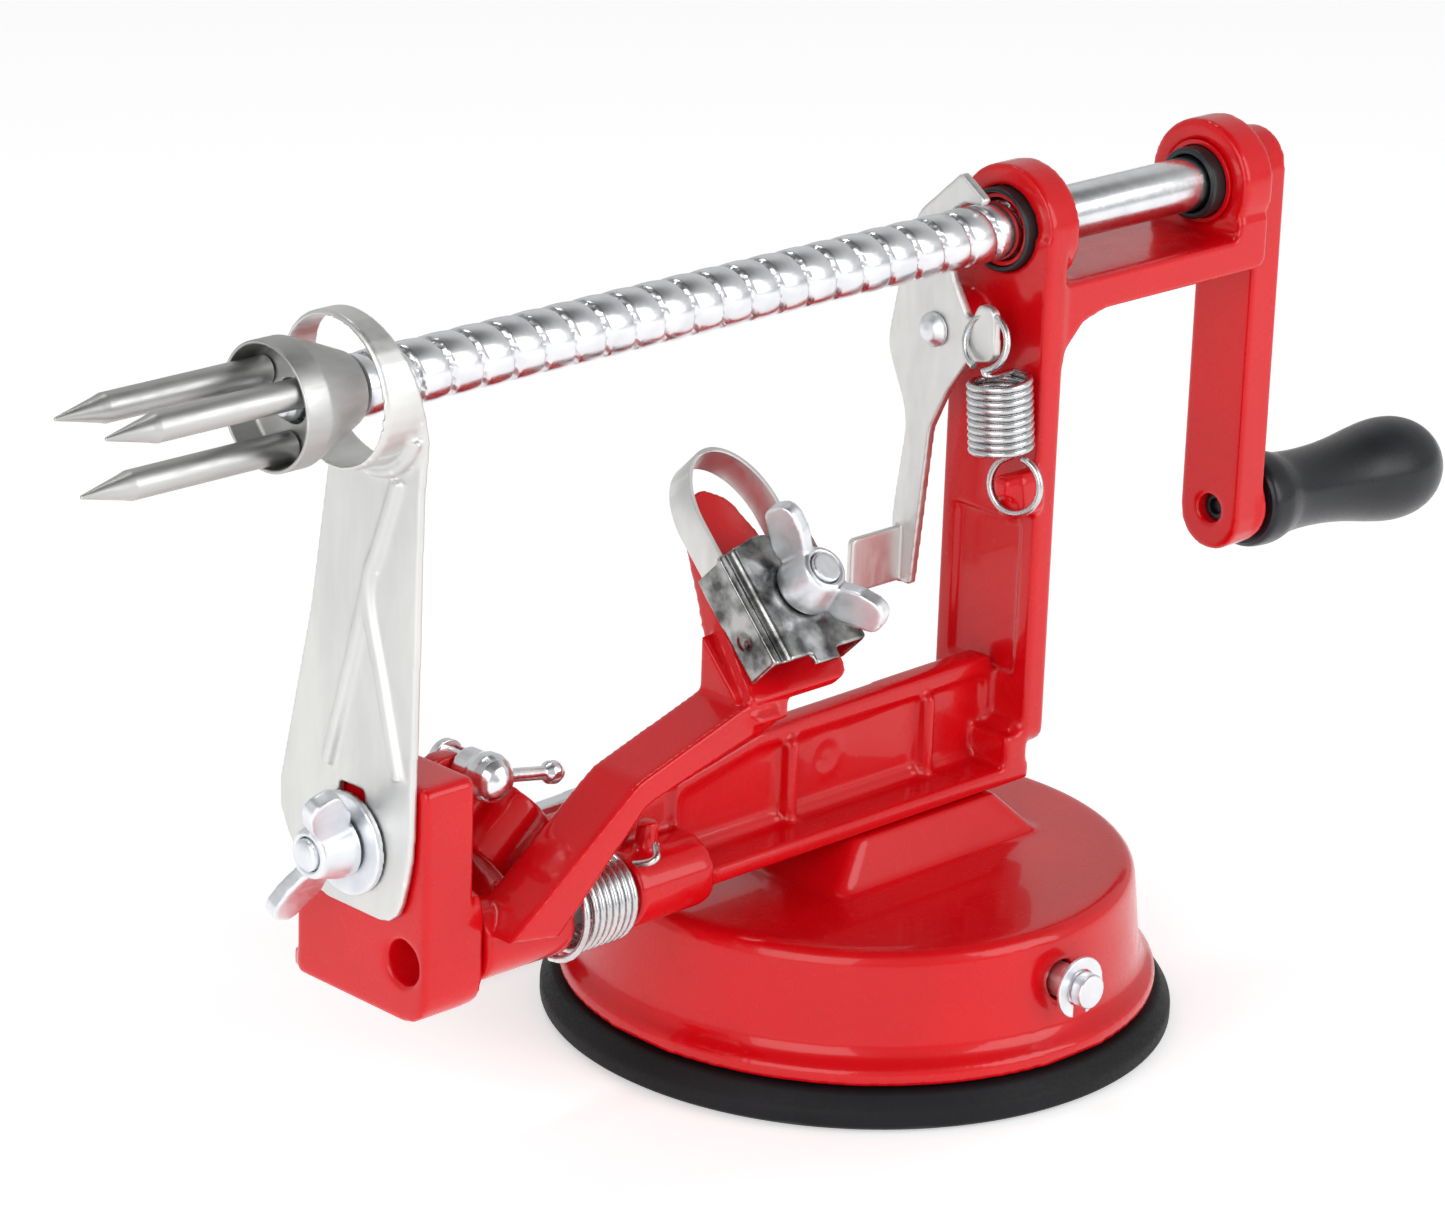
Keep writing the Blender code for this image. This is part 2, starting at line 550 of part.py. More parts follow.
def wing_nut(name, place, axis, across, hub_r=4.6, height=6.4, span=12.5, rise=10.5, bore=2.6):
    """A forged wing nut: a tapered hub with two swept wings, standing along the axis."""
    frame = frame_along(place, axis)
    side = frame.to_3x3().inverted() @ Vector(across)
    frame = frame @ Matrix.Rotation(Vector((side.x, side.y)).angle_signed(Vector((1, 0))), 4, "Z")
    hub = turned(name, [(hub_r * 0.74, height), (hub_r, height * 0.55), (hub_r, 0), (bore, 0), (bore, height),
                        (hub_r * 0.74, height)], sides=24)
    hub.matrix_world = frame
    wing_plane = frame @ PLANES["XZ"]
    for side in (1, -1):
        corners = [(hub_r * 0.72, 0.8, 0), (span * 0.72, rise * 0.38, 2.5), (span, rise * 0.86, 1.8),
                   (span * 0.78, rise, 1.8), (hub_r * 0.72, height * 0.92, 1.0)]
        outline = rounded([(x * side, z, r) for x, z, r in corners])
        join(hub, plate(name + "_wing", outline, -1.3, 1.3, wing_plane, bevel=0.5))
    return hub


# ---------------------------------------------------------------- peeler arm

def arm_strip():
    """The bent strip from the sleeve up to the head, as an outline in X and Z."""
    top = [(-90.0, 39.6), (-64.5, 58.6), (-42.6, 65.6)]
    return rounded([(top[0][0], top[0][1], 0), (top[1][0], top[1][1], 6.0), (top[2][0], top[2][1], 0),
                    (-39.0, 64.6, 0), (-39.6, 60.6, 0), (-62.6, 54.6, 6.0), (-80.0, 38.0, 0)])


def peeler_arm():
    """Sleeve on the rod, the bent strip, and the sloping head plate that backs the blade."""
    sleeve = rod("peeler_arm", (SLEEVE_X0, ROD_Y, ROD_Z), (SLEEVE_X1, ROD_Y, ROD_Z), SLEEVE_R)
    strip = plate("arm_strip", arm_strip(), -15.4, -4.9, "XZ", bevel=0.5)
    head_outline = rounded([(-13.4, -13.2, 1.0), (7.4, -13.2, 2.5), (9.0, -4.0, 6.0), (5.0, 12.0, 12.0),
                            (2.6, 20.0, 4.0), (-3.0, 23.4, 3.0), (-8.6, 14.0, 14.0), (-11.8, -2.0, 30.0)])
    hole = circle(0, 0, 2.6, 20)
    head = plate("arm_head", head_outline, -3.0, 0.0, head_plane(), [hole], bevel=0.4)
    rim_outline = rounded([(-13.4, -13.2, 0), (-7.6, -13.2, 0), (-8.2, 2.0, 0), (-6.0, 14.0, 0), (-7.6, 15.6, 0),
                           (-11.9, -2.0, 0)])
    rim = plate("arm_rim", rim_outline, -8.4, -1.5, head_plane())
    gusset = plate("arm_gusset", [(-15.2, 61.4), (-5.2, 61.4), (-5.2, 74.6), (-15.2, 64.4)], -42.8, -33.0, "YZ")
    web = box("arm_foot", (-86.0, ROD_Y - 5.6, ROD_Z - 1.0), (-74.6, ROD_Y + 0.4, ROD_Z + 6.4))
    bore = rod("sleeve_bore", (SLEEVE_X0 - 1, ROD_Y, ROD_Z), (SLEEVE_X1 + 1, ROD_Y, ROD_Z), ROD_R + 0.1)
    return cut(join(sleeve, web, strip, head, rim, gusset), bore)


def arm_spring():
    """The torsion spring on the rod between the sleeve and the beam's boss."""
    coil = helix((-71.4, ROD_Y, ROD_Z), (1, 0, 0), 6.7, 1.38, 7.75, 8, pi)
    return wire("arm_spring", coil, 0.62)


def head_point(s, t, h):
    return head_plane() @ (Vector((s, t, h)) * MM) / MM


def head_axis():
    return head_plane().to_3x3() @ Vector((0, 0, 1))


def blade_bracket():
    """The folded steel cap that clamps the blade's two legs against the head plate."""
    top = plate("blade_bracket", rounded([(-12.3, -10.4, 0.6), (7.4, -10.4, 0.6), (7.4, 8.0, 0.6),
                                          (-3.0, 10.4, 1.0), (-12.3, 8.6, 0.6)]), 6.4, 7.4, head_plane(),
                [circle(0, 0, 2.8, 20)])
    left = plate("bracket_left", rounded([(-12.3, -10.4, 0), (-11.5, -10.4, 0), (-11.5, 8.0, 0),
                                          (-12.3, 8.0, 0)]), 0.4, 6.6, head_plane())
    right = plate("bracket_right", rounded([(6.6, -10.4, 0), (7.4, -10.4, 0), (7.4, 7.6, 0), (6.6, 7.6, 0)]),
                  0.4, 6.6, head_plane())
    return join(top, left, right)


def peeler_blade():
    """The arched blade strip, with both legs inside the bracket."""
    centre, half, thick = -2.4, 8.4, 0.8
    outer = [(centre + half, -8.0)]
    outer += [(centre + half * cos(a), 15.0 + (26.6 - 15.0) * sin(a)) for a in
              [pi * n / 16 for n in range(17)]]
    outer.append((centre - half, -8.0))
    inner = [(centre - half + thick, -8.0)]
    inner += [(centre + (half - thick) * cos(a), 15.0 + (26.6 - 15.0 - thick) * sin(a)) for a in
              [pi * (16 - n) / 16 for n in range(17)]]
    inner.append((centre + half - thick, -8.0))
    return plate("peeler_blade", outer + inner, 0.3, 6.0, head_plane())


def blade_block():
    """The spacer between the blade's legs that the bolt draws down on."""
    return plate("blade_spacer", rounded([(-6.4, -7.0, 1.0), (3.6, -7.0, 1.0), (3.6, 6.5, 1.0), (-6.4, 6.5, 1.0)]),
                 0.3, 6.0, head_plane(), [circle(0, 0, 2.8, 16)])


def blade_bolt():
    bolt = rod("blade_bolt", head_point(0, 0, -6.6), head_point(0, 0, 14.6), 2.5, sides=20)
    return join(bolt, rod("blade_bolt_head", head_point(0, 0, -6.8), head_point(0, 0, -3.3), 4.2, sides=6))


# ---------------------------------------------------------------- release lever

def release_lever():
    """The thin thumb lever whose upper edge rides in the shaft's thread."""
    outline = rounded([(9.8, 64.6, 0), (13.2, 64.6, 0), (14.6, 75.0, 20.0), (12.0, 93.0, 12.0), (17.2, 104.0, 8.0),
                       (14.4, 119.0, 12.0), (11.4, 127.4, 6.0), (3.0, 135.6, 1.2), (-2.4, 134.8, 0.8),
                       (-2.6, 132.0, 0.8), (5.0, 131.4, 3.0), (5.9, 120.6, 2.0), (3.4, 118.4, 1.0), (-1.0, 111.6, 1.0), (-4.6, 112.6, 1.5),
                       (-4.8, 106.4, 1.5), (-0.6, 105.0, 2.0), (3.6, 99.0, 4.0), (7.0, 92.0, 6.0)])
    return plate("release_lever", outline, LEVER_X0, LEVER_X1, "YZ", [circle(LEVER_PIVOT_Y, LEVER_PIVOT_Z, 2.0, 20),
                                                                     circle(-2.6, 109.0, 1.3, 12)])


def lever_tab():
    return box("lever_tab", (7.6, 12.0, 64.6), (LEVER_X0 + 0.6, 13.2, 74.4))


def lever_rivet():
    return turned("lever_rivet", [(0, 0), (1.6, 0.4), (2.9, 1.6), (2.9, 2.2), (1.9, 2.2), (1.9, 8.6), (0, 8.6)],
                  (16.7, LEVER_PIVOT_Y, LEVER_PIVOT_Z), (1, 0, 0), sides=20)


def lever_spring():
    """The close-wound extension spring with a hook ring at each end."""
    top, bottom = Vector((20.0, -6.9, 103.8)), Vector((20.3, -7.8, 91.8))
    down = (bottom - top)
    coil = helix(top, down, 4.8, down.length / 9.5, 9.5, 8)
    return wire("lever_spring", coil, 0.58)


# ---------------------------------------------------------------- shaft, fork and crank

def drive_shaft():
    """The shaft's envelope: the thread's outside in front, the plain part behind, and a squared rear end."""
    length = SHAFT_BACK - SHAFT_FRONT
    plain = 28.0 - SHAFT_FRONT
    shaft = turned("drive_shaft", [(0, length), (3.2, length), (3.2, CRANK_X - FIT - SHAFT_FRONT),
                                   (SHAFT_R, CRANK_X - FIT - SHAFT_FRONT), (SHAFT_R, plain),
                                   (THREAD_R, plain - 0.4), (THREAD_R, 8.6), (3.0, 8.2), (3.0, 0), (0, 0)],
                   (SHAFT_FRONT, 0, SHAFT_Z), (1, 0, 0), sides=24)
    return shaft


def fork_hub():
    """The bell-shaped cup that carries the prongs."""
    floor = FORK_FLOOR_X - FORK_RIM_X
    back = -109.6 - FORK_RIM_X
    hub = turned("fork_hub", [(3.3, back), (5.4, back), (8.4, floor + 2.6), (FORK_R, floor - 0.6), (FORK_R, 0),
                              (FORK_R - 0.6, 0), (FORK_R - 0.7, floor), (3.3, floor), (3.3, back)],
                 (FORK_RIM_X, 0, SHAFT_Z), (1, 0, 0), sides=32)
    return hub


def prong(name, angle):
    """A round steel spike with a turned point, standing in the cup."""
    y = PRONG_CIRCLE * cos(radians(angle))
    z = SHAFT_Z + PRONG_CIRCLE * sin(radians(angle))
    length = FORK_FLOOR_X - FIT - PRONG_TIP_X
    return turned(name, [(0, length), (PRONG_R, length), (PRONG_R, 7.6), (1.9, 6.6), (0.25, 0.2), (0, 0)],
                  (PRONG_TIP_X, y, z), (1, 0, 0), sides=18)


def fork_rivet():
    """The headed rivet on the cup's floor that holds the fork to the shaft."""
    return turned("fork_rivet", [(0, 3.4), (2.7, 3.4), (2.7, 1.0), (1.7, 0), (0, 0)],
                  (FORK_FLOOR_X - 2.2, 0, SHAFT_Z), (1, 0, 0), sides=20)


def crank_arm():
    low_z = SHAFT_Z - CRANK_LENGTH
    arm = plate("crank_arm", rounded([(-6.3, low_z - 7.2, 6.2), (6.3, low_z - 7.2, 6.2), (6.3, SHAFT_Z + 7.4, 6.2),
                                      (-6.3, SHAFT_Z + 7.4, 6.2)]), CRANK_X, CRANK_X + CRANK_THICK, "YZ",
                [circle(0, SHAFT_Z, 3.4, 20), circle(0, low_z, 2.5, 16)], bevel=0.7)
    boss = rod("handle_boss", (CRANK_X + CRANK_THICK - 1, 0, low_z), (CRANK_X + CRANK_THICK + 0.6, 0, low_z), 7.0)
    boss_bore = rod("handle_boss_bore", (CRANK_X - 1, 0, low_z), (CRANK_X + 10, 0, low_z), 2.5, sides=16)
    return cut(join(arm, boss), boss_bore)


def handle_direction():
    return Vector((cos(radians(HANDLE_DROOP)), 0, -sin(radians(HANDLE_DROOP))))


def handle_point(distance):
    """A point on the handle pin's axis, which leans down slightly from the crank."""
    return Vector((CRANK_X + 1.6, 0, SHAFT_Z - CRANK_LENGTH)) + handle_direction() * distance


def handle_pin():
    start = handle_point(0)
    return turned("handle_pin", [(0, 40.0), (1.7, 40.0), (2.1, 39.5), (2.1, 0), (0, 0)], start,
                  handle_direction(), sides=18)


def handle_grip():
    length = HANDLE_LENGTH
    profile = [(0, length), (3.2, length - 0.5), (5.6, length - 1.9), (7.5, length - 4.2), (8.6, length - 7.2),
               (9.1, length - 11.0), (9.0, length - 14.4), (8.3, length - 19.0), (7.3, length - 25.5), (6.8, 17.0),
               (6.9, 11.0), (7.9, 6.8), (8.2, 4.8), (8.1, 0.8), (7.6, 0), (2.2, 0), (2.2, 36.0), (0, 36.0)]
    return turned("handle_grip", profile, handle_point(6.6), handle_direction(), sides=36)


# ---------------------------------------------------------------- assembly

def build_base():
    keep(base_casting(), RED)
    keep(suction_pad(), RUBBER)
    keep(frame_screw("frame_screw_left", SCREW_X[0]), ZINC)
    keep(frame_screw("frame_screw_right", SCREW_X[1]), ZINC)
    pivot("pad_lift", (0, 0, 0), [keep(pad_stem(), ZINC)])
    moving = [keep(cam_shaft(), ZINC), keep(e_clip(), ZINC), keep(suction_lever(), ZINC),
              keep(lever_boss(), ZINC), keep(lever_grip(), PLASTIC)]
    pivot("suction_lever_hinge", (0, 0, CAM_Z), moving)


def build_frame():
    keep(frame_casting(), RED)
    keep(end_block(), RED)
    keep(pivot_rod(), STEEL)
    keep(stop_screw(), CHROME)
    keep(clamp_screw(), CHROME)
    pivot("clamp_lever_hinge", (CLAMP_X, 5.0, CLAMP_Z), [keep(clamp_lever(), CHROME)])


def build_slicer():
    keep(slicer_bolt(), ZINC)
    keep(slicer_washer(), ZINC)
    pivot("slicer_hinge", (PLATE_X0, SLICER_BOLT_Y, SLICER_BOLT_Z), [keep(slicer_plate(), STEEL)])
    place = (PLATE_X0 - 2 * FIT - 1.2, SLICER_BOLT_Y, SLICER_BOLT_Z)
    nut = keep(wing_nut("slicer_wing_nut", place, (-1, 0, 0), (0, 0.75, -0.66)), ZINC)
    pivot("slicer_wing_spin", place, [nut])


def build_peeler():
    pivot("peeler_hinge", (0, ROD_Y, ROD_Z), [keep(peeler_arm(), RED)])
    head = [keep(blade_bracket(), DARK_STEEL), keep(peeler_blade(), STEEL), keep(blade_block(), DARK_STEEL),
            keep(blade_bolt(), ZINC)]
    pivot("blade_hinge", HEAD_ORIGIN, head)
    nut = keep(wing_nut("blade_wing_nut", head_point(0, 0, 7.7), head_axis(), (-3.7, 7.0, 7.3)), ZINC)
    pivot("blade_wing_spin", HEAD_ORIGIN, [nut])
    keep(arm_spring(), STEEL)


def build_release():
    lever = keep(join(release_lever(), lever_tab()), STEEL)
    pivot("release_hinge", (LEVER_X0, LEVER_PIVOT_Y, LEVER_PIVOT_Z), [lever])
    keep(lever_rivet(), ZINC)
    keep(lever_spring(), ZINC)


def build_drive():
    keep_bushes = [keep(bush("front_bush", POST_X0 + 1.0, POST_X0 + 7.0, 1.4), BUSHING),
                   keep(bush("rear_bush", ARCH_X1 - 7.0, ARCH_X1, 3.2), BUSHING)]
    pivot("shaft_turn", (0, 0, SHAFT_Z), keep_bushes)
    spinning = [keep(drive_shaft(), CHROME), keep(fork_hub(), STEEL), keep(fork_rivet(), ZINC),
                keep(prong("prong_far", 30), STEEL), keep(prong("prong_near", 150), STEEL),
                keep(prong("prong_lower", 270), STEEL), keep(crank_arm(), RED), keep(handle_pin(), ZINC)]
    pivot("shaft_feed", (0, 0, SHAFT_Z), spinning)
    pivot("handle_spin", (CRANK_X + CRANK_THICK, 0, SHAFT_Z - CRANK_LENGTH), [keep(handle_grip(), PLASTIC)])


def shade_smooth():
    for obj in PARTS.objects:
        if obj.type == "MESH":
            obj.data.shade_smooth()
            obj.data.set_sharp_from_angle(angle=radians(35))


build_base()
build_frame()
build_slicer()
build_peeler()
build_release()
build_drive()
shade_smooth()
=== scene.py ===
"""Looks of the hand-cranked apple peeler, corer and slicer: finer pieces, finishes, light and camera.

Metres in the CAD's frame; sizes written in millimetres are scaled by MM.
"""

import json
from math import ceil, cos, pi, radians, sin, tan

import bmesh
import bpy
from mathutils import Matrix, Vector

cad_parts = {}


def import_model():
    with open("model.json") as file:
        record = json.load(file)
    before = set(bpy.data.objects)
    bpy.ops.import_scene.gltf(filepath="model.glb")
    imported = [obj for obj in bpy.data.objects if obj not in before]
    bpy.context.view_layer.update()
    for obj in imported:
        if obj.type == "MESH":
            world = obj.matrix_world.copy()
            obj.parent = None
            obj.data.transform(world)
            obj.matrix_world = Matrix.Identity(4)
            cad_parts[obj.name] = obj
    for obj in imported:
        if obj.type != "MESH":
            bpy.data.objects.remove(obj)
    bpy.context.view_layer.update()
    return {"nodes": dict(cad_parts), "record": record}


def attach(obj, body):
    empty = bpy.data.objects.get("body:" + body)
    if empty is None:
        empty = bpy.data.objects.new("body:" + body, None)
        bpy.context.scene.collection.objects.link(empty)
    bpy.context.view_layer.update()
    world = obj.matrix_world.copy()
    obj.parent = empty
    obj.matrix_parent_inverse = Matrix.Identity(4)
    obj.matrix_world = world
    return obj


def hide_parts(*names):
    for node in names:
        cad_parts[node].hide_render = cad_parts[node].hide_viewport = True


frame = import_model()

MM = 0.001
WELD = 0.000002
ALONG_SHAFT = (1, 0, 0)
SHAFT_Z = 125.7
THREAD_PITCH, THREAD_CREST, SHAFT_RADIUS = 6.0, 4.8, 4.46
THREAD_START, THREAD_END = -108.7, 26.6
FRONT_BUSH_X, REAR_BUSH_X = 26.4, 73.6
ROD_Y, ROD_Z = -5.3, 36.7
SLICER_Y, SLICER_Z = 4.4, 53.6
RING_FRONT_X = -109.3
PRONG_CIRCLE = 6.5
CAM_Z = 18.4
DOME_TOP = 27.2
HEAD_ORIGIN, HEAD_SLOPE = (-28.3, -6.9, 75.6), 46.0
HANDLE_START, HANDLE_DROOP = (83.2, 0, 67.1), 3.2

BODY_OF = {node: body for body, nodes in frame["record"]["behaviour"]["bodies"].items()
           for node in nodes}
SLOT_OF = {row["node"]: row["material_slot"] for row in frame["record"]["subparts"]}


# ---------------------------------------------------------------- finishes

def finish(name, colour, second, rough, patch, grain, bump, metallic=1.0, specular=0.5, coat=0.0,
           coat_rough=0.05, stretch=(1, 1, 1), worn=None):
    """A Principled finish: patchy colour, uneven roughness, fine grain, and lighter worn edges."""
    made = bpy.data.materials.new(name)
    made.use_nodes = True
    nodes, links = made.node_tree.nodes, made.node_tree.links
    shader = nodes["Principled BSDF"]
    shader.inputs["Metallic"].default_value = metallic
    shader.inputs["Specular IOR Level"].default_value = specular
    if coat:
        shader.inputs["Coat Weight"].default_value = coat
        shader.inputs["Coat Roughness"].default_value = coat_rough
    place = nodes.new("ShaderNodeTexCoord")
    spread = nodes.new("ShaderNodeMapping")
    spread.inputs["Scale"].default_value = stretch
    links.new(place.outputs["Object"], spread.inputs["Vector"])

    def noise(scale, detail):
        node = nodes.new("ShaderNodeTexNoise")
        node.inputs["Scale"].default_value = scale
        node.inputs["Detail"].default_value = detail
        links.new(spread.outputs["Vector"], node.inputs["Vector"])
        return node.outputs["Fac"]

    def ranged(value, low, high, to_low, to_high):
        node = nodes.new("ShaderNodeMapRange")
        limits = {"From Min": low, "From Max": high, "To Min": to_low, "To Max": to_high}
        for socket, number in limits.items():
            node.inputs[socket].default_value = number
        links.new(value, node.inputs["Value"])
        return node.outputs["Result"]

    def mixed(factor, first, other):
        node = nodes.new("ShaderNodeMix")
        node.data_type = "RGBA"
        links.new(factor, node.inputs[0])
        for socket, colour_in in ((node.inputs[6], first), (node.inputs[7], other)):
            if isinstance(colour_in, tuple):
                socket.default_value = (*colour_in, 1)
            else:
                links.new(colour_in, socket)
        return node.outputs[2]

    patches, fine = noise(patch, 4), noise(grain, 3)
    colour_out = mixed(ranged(patches, 0.35, 0.65, 0, 1), colour, second)
    if worn:
        shape = nodes.new("ShaderNodeNewGeometry")
        edges = ranged(shape.outputs["Pointiness"], 0.53, 0.62, 0, 0.5)
        colour_out = mixed(edges, colour_out, worn)
    links.new(colour_out, shader.inputs["Base Color"])
    links.new(ranged(fine, 0.3, 0.7, *rough), shader.inputs["Roughness"])
    relief = nodes.new("ShaderNodeBump")
    relief.inputs["Strength"].default_value = bump
    relief.inputs["Distance"].default_value = 0.0001
    links.new(fine, relief.inputs["Height"])
    links.new(relief.outputs["Normal"], shader.inputs["Normal"])
    return made


FINISH_ROWS = {
    "red_enamel": dict(
        colour=(0.66, 0.002, 0.006), second=(0.60, 0.0015, 0.005), rough=(0.22, 0.30), patch=45, grain=220,
        bump=0.012, metallic=0.0, coat=0.42, coat_rough=0.03, specular=0.22),
    "shaft_chrome": dict(
        colour=(0.86, 0.87, 0.89), second=(0.76, 0.77, 0.80), rough=(0.18, 0.27), patch=300, grain=1500,
        bump=0.02, worn=(0.95, 0.95, 0.95)),
    "plate_steel": dict(
        colour=(0.76, 0.76, 0.74), second=(0.68, 0.68, 0.67), rough=(0.36, 0.50), patch=120, grain=900,
        bump=0.08, stretch=(1, 1, 0.25), worn=(0.92, 0.92, 0.90)),
    "fork_steel": dict(
        colour=(0.56, 0.56, 0.55), second=(0.46, 0.46, 0.45), rough=(0.36, 0.50), patch=160, grain=1400,
        bump=0.10, stretch=(0.15, 1, 1), worn=(0.85, 0.85, 0.83)),
    "bracket_steel": dict(
        colour=(0.48, 0.48, 0.47), second=(0.09, 0.09, 0.088), rough=(0.12, 0.28), patch=260, grain=1100,
        bump=0.08, worn=(0.85, 0.85, 0.83)),
    "zinc": dict(
        colour=(0.86, 0.88, 0.91), second=(0.77, 0.79, 0.82), rough=(0.30, 0.44), patch=220, grain=1300,
        bump=0.06, worn=(0.97, 0.97, 0.97)),
    "spring_steel": dict(
        colour=(0.68, 0.69, 0.70), second=(0.54, 0.55, 0.56), rough=(0.20, 0.32), patch=300, grain=1800,
        bump=0.05, worn=(0.90, 0.90, 0.89)),
    "pad_rubber": dict(
        colour=(0.010, 0.010, 0.012), second=(0.006, 0.006, 0.007), rough=(0.50, 0.66), patch=60, grain=1600,
        bump=0.12, metallic=0.0, worn=(0.03, 0.03, 0.034), specular=0.22),
    "grip_plastic": dict(
        colour=(0.008, 0.009, 0.014), second=(0.005, 0.006, 0.009), rough=(0.26, 0.36), patch=50, grain=1700,
        bump=0.06, metallic=0.0, coat=0.15, coat_rough=0.18, worn=(0.018, 0.020, 0.027), specular=0.36),
    "bush_plastic": dict(
        colour=(0.012, 0.018, 0.019), second=(0.008, 0.012, 0.013), rough=(0.30, 0.44), patch=150, grain=1500,
        bump=0.08, metallic=0.0, worn=(0.03, 0.04, 0.042)),
}
FINISHES = {slot: finish(slot, **row) for slot, row in FINISH_ROWS.items()}


# ---------------------------------------------------------------- shapes, in millimetres

def object_of(name, bm):
    bmesh.ops.recalc_face_normals(bm, faces=bm.faces)
    mesh = bpy.data.meshes.new(name)
    bm.to_mesh(mesh)
    bm.free()
    made = bpy.data.objects.new(name, mesh)
    bpy.context.scene.collection.objects.link(made)
    return made


def settle(obj):
    """Makes the object's modifiers and its place part of its mesh."""
    bpy.context.view_layer.update()
    graph = bpy.context.evaluated_depsgraph_get()
    mesh = bpy.data.meshes.new_from_object(obj.evaluated_get(graph))
    mesh.transform(obj.matrix_world)
    if obj.matrix_world.determinant() < 0:
        mesh.flip_normals()
    name = obj.name
    bpy.data.objects.remove(obj, do_unlink=True)
    mesh.name = name
    made = bpy.data.objects.new(name, mesh)
    bpy.context.scene.collection.objects.link(made)
    return made


def frame_along(start, direction):
    """The matrix that puts local +Z along the direction, with its origin at start."""
    turn = Vector(direction).normalized().to_track_quat("Z", "Y").to_matrix().to_4x4()
    return Matrix.Translation(Vector(start) * MM) @ turn


def rounded(corners, step=12.0, closed=True):
    """An outline from (x, y, radius) corners, with an arc at each corner that has a radius."""
    points = []
    for index, (x, y, radius) in enumerate(corners):
        if not radius or (not closed and index in (0, len(corners) - 1)):
            points.append((x, y))
            continue
        here = Vector((x, y))
        before = Vector(corners[index - 1][:2]) - here
        after = Vector(corners[(index + 1) % len(corners)][:2]) - here
        half = before.angle(after) / 2
        reach = min(radius / tan(half), before.length * 0.49, after.length * 0.49)
        arc = reach * tan(half)
        centre = here + (before.normalized() + after.normalized()).normalized() * (arc / sin(half))
        first = here + before.normalized() * reach - centre
        last = here + after.normalized() * reach - centre
        swing = first.angle_signed(last)
        count = max(2, ceil(abs(swing) / radians(step)))
        for n in range(count + 1):
            spoke = first.copy()
            spoke.rotate(Matrix.Rotation(-swing * n / count, 2))
            points.append(tuple(centre + spoke))
    return points


def circle(x, y, radius, sides=48):
    return [(x + radius * cos(2 * pi * n / sides), y + radius * sin(2 * pi * n / sides))
            for n in range(sides)]


def skin_between(bm, pairs):
    """Faces between pairs of rings of points; a ring that repeats one point closes to a tip."""
    for low, high in pairs:
        for n in range(len(low)):
            m = (n + 1) % len(low)
            corners = list(dict.fromkeys((low[n], low[m], high[m], high[n])))
            if len(corners) > 2:
                bm.faces.new(corners)


PLANES = {
    "XY": Matrix(((1, 0, 0), (0, 1, 0), (0, 0, 1))).to_4x4(),
    "YZ": Matrix(((0, 0, 1), (1, 0, 0), (0, 1, 0))).to_4x4(),
    "XZ": Matrix(((1, 0, 0), (0, 0, -1), (0, 1, 0))).to_4x4(),
}


def head_plane():
    """Local X along the shaft, local Y up the peeler head's slope, local Z out of the head plate."""
    slope = radians(HEAD_SLOPE)
    turn = Matrix(((1, 0, 0), (0, cos(slope), -sin(slope)), (0, sin(slope), cos(slope))))
    return Matrix.Translation(Vector(HEAD_ORIGIN) * MM) @ turn.to_4x4()


def head_point(s, t, h):
    return head_plane() @ (Vector((s, t, h)) * MM) / MM


def lathe(name, profile, start, direction, sides=96):
    """A solid turned from (radius, distance, corner radius) points; a ring repeats its first point."""
    ring = profile[0][:2] == profile[-1][:2]
    points = rounded(profile[:-1] if ring else profile, 15, ring)
    bm = bmesh.new()
    rows = []
    for r, z in points:
        if r < 1e-6:
            rows.append([bm.verts.new((0, 0, z * MM))] * sides)
        else:
            angles = [2 * pi * n / sides for n in range(sides)]
            rows.append([bm.verts.new((r * MM * cos(a), r * MM * sin(a), z * MM)) for a in angles])
    skin_between(bm, list(zip(rows, rows[1:])) + ([(rows[-1], rows[0])] if ring else []))
    made = object_of(name, bm)
    made.matrix_world = frame_along(start, direction)
    return settle(made)


def plate(name, outline, low, high, plane="XY", holes=(), bevel=0.0, segments=3):
    """A flat outline with holes, extruded from low to high along the plane's normal, with rounded edges."""
    data = bpy.data.curves.new(name, "CURVE")
    data.dimensions = "2D"
    data.fill_mode = "BOTH"
    data.extrude = abs(high - low) / 2 * MM
    for ring in (outline, *holes):
        spline = data.splines.new("POLY")
        spline.points.add(len(ring) - 1)
        for point, (x, y) in zip(spline.points, ring):
            point.co = (x * MM, y * MM, 0, 1)
        spline.use_cyclic_u = True
    curve = bpy.data.objects.new(name, data)
    bpy.context.scene.collection.objects.link(curve)
    way = PLANES[plane] if isinstance(plane, str) else plane
    middle = (low + high) / 2 * (-1 if plane == "XZ" else 1)
    curve.matrix_world = way @ Matrix.Translation((0, 0, middle * MM))
    made = welded(settle(curve))
    if bevel:
        edge = made.modifiers.new("round edges", "BEVEL")
        edge.width = bevel * MM
        edge.segments = segments
        edge.limit_method = "ANGLE"
        edge.angle_limit = radians(50)
        made = settle(made)
    return made


def welded(obj):
    bm = bmesh.new()
    bm.from_mesh(obj.data)
    bmesh.ops.remove_doubles(bm, verts=bm.verts, dist=WELD)
    bmesh.ops.recalc_face_normals(bm, faces=bm.faces)
    bm.to_mesh(obj.data)
    bm.free()
    return obj


def wire(name, points, radius, resolution=5):
    """A round wire along the points, with filled ends."""
    data = bpy.data.curves.new(name, "CURVE")
    data.dimensions = "3D"
    data.bevel_depth = radius * MM
    data.bevel_resolution = resolution
    data.use_fill_caps = True
    spline = data.splines.new("POLY")
    spline.points.add(len(points) - 1)
    for point, place in zip(spline.points, points):
        point.co = (*(Vector(place) * MM), 1)
    made = bpy.data.objects.new(name, data)
    bpy.context.scene.collection.objects.link(made)
    return welded(settle(made))


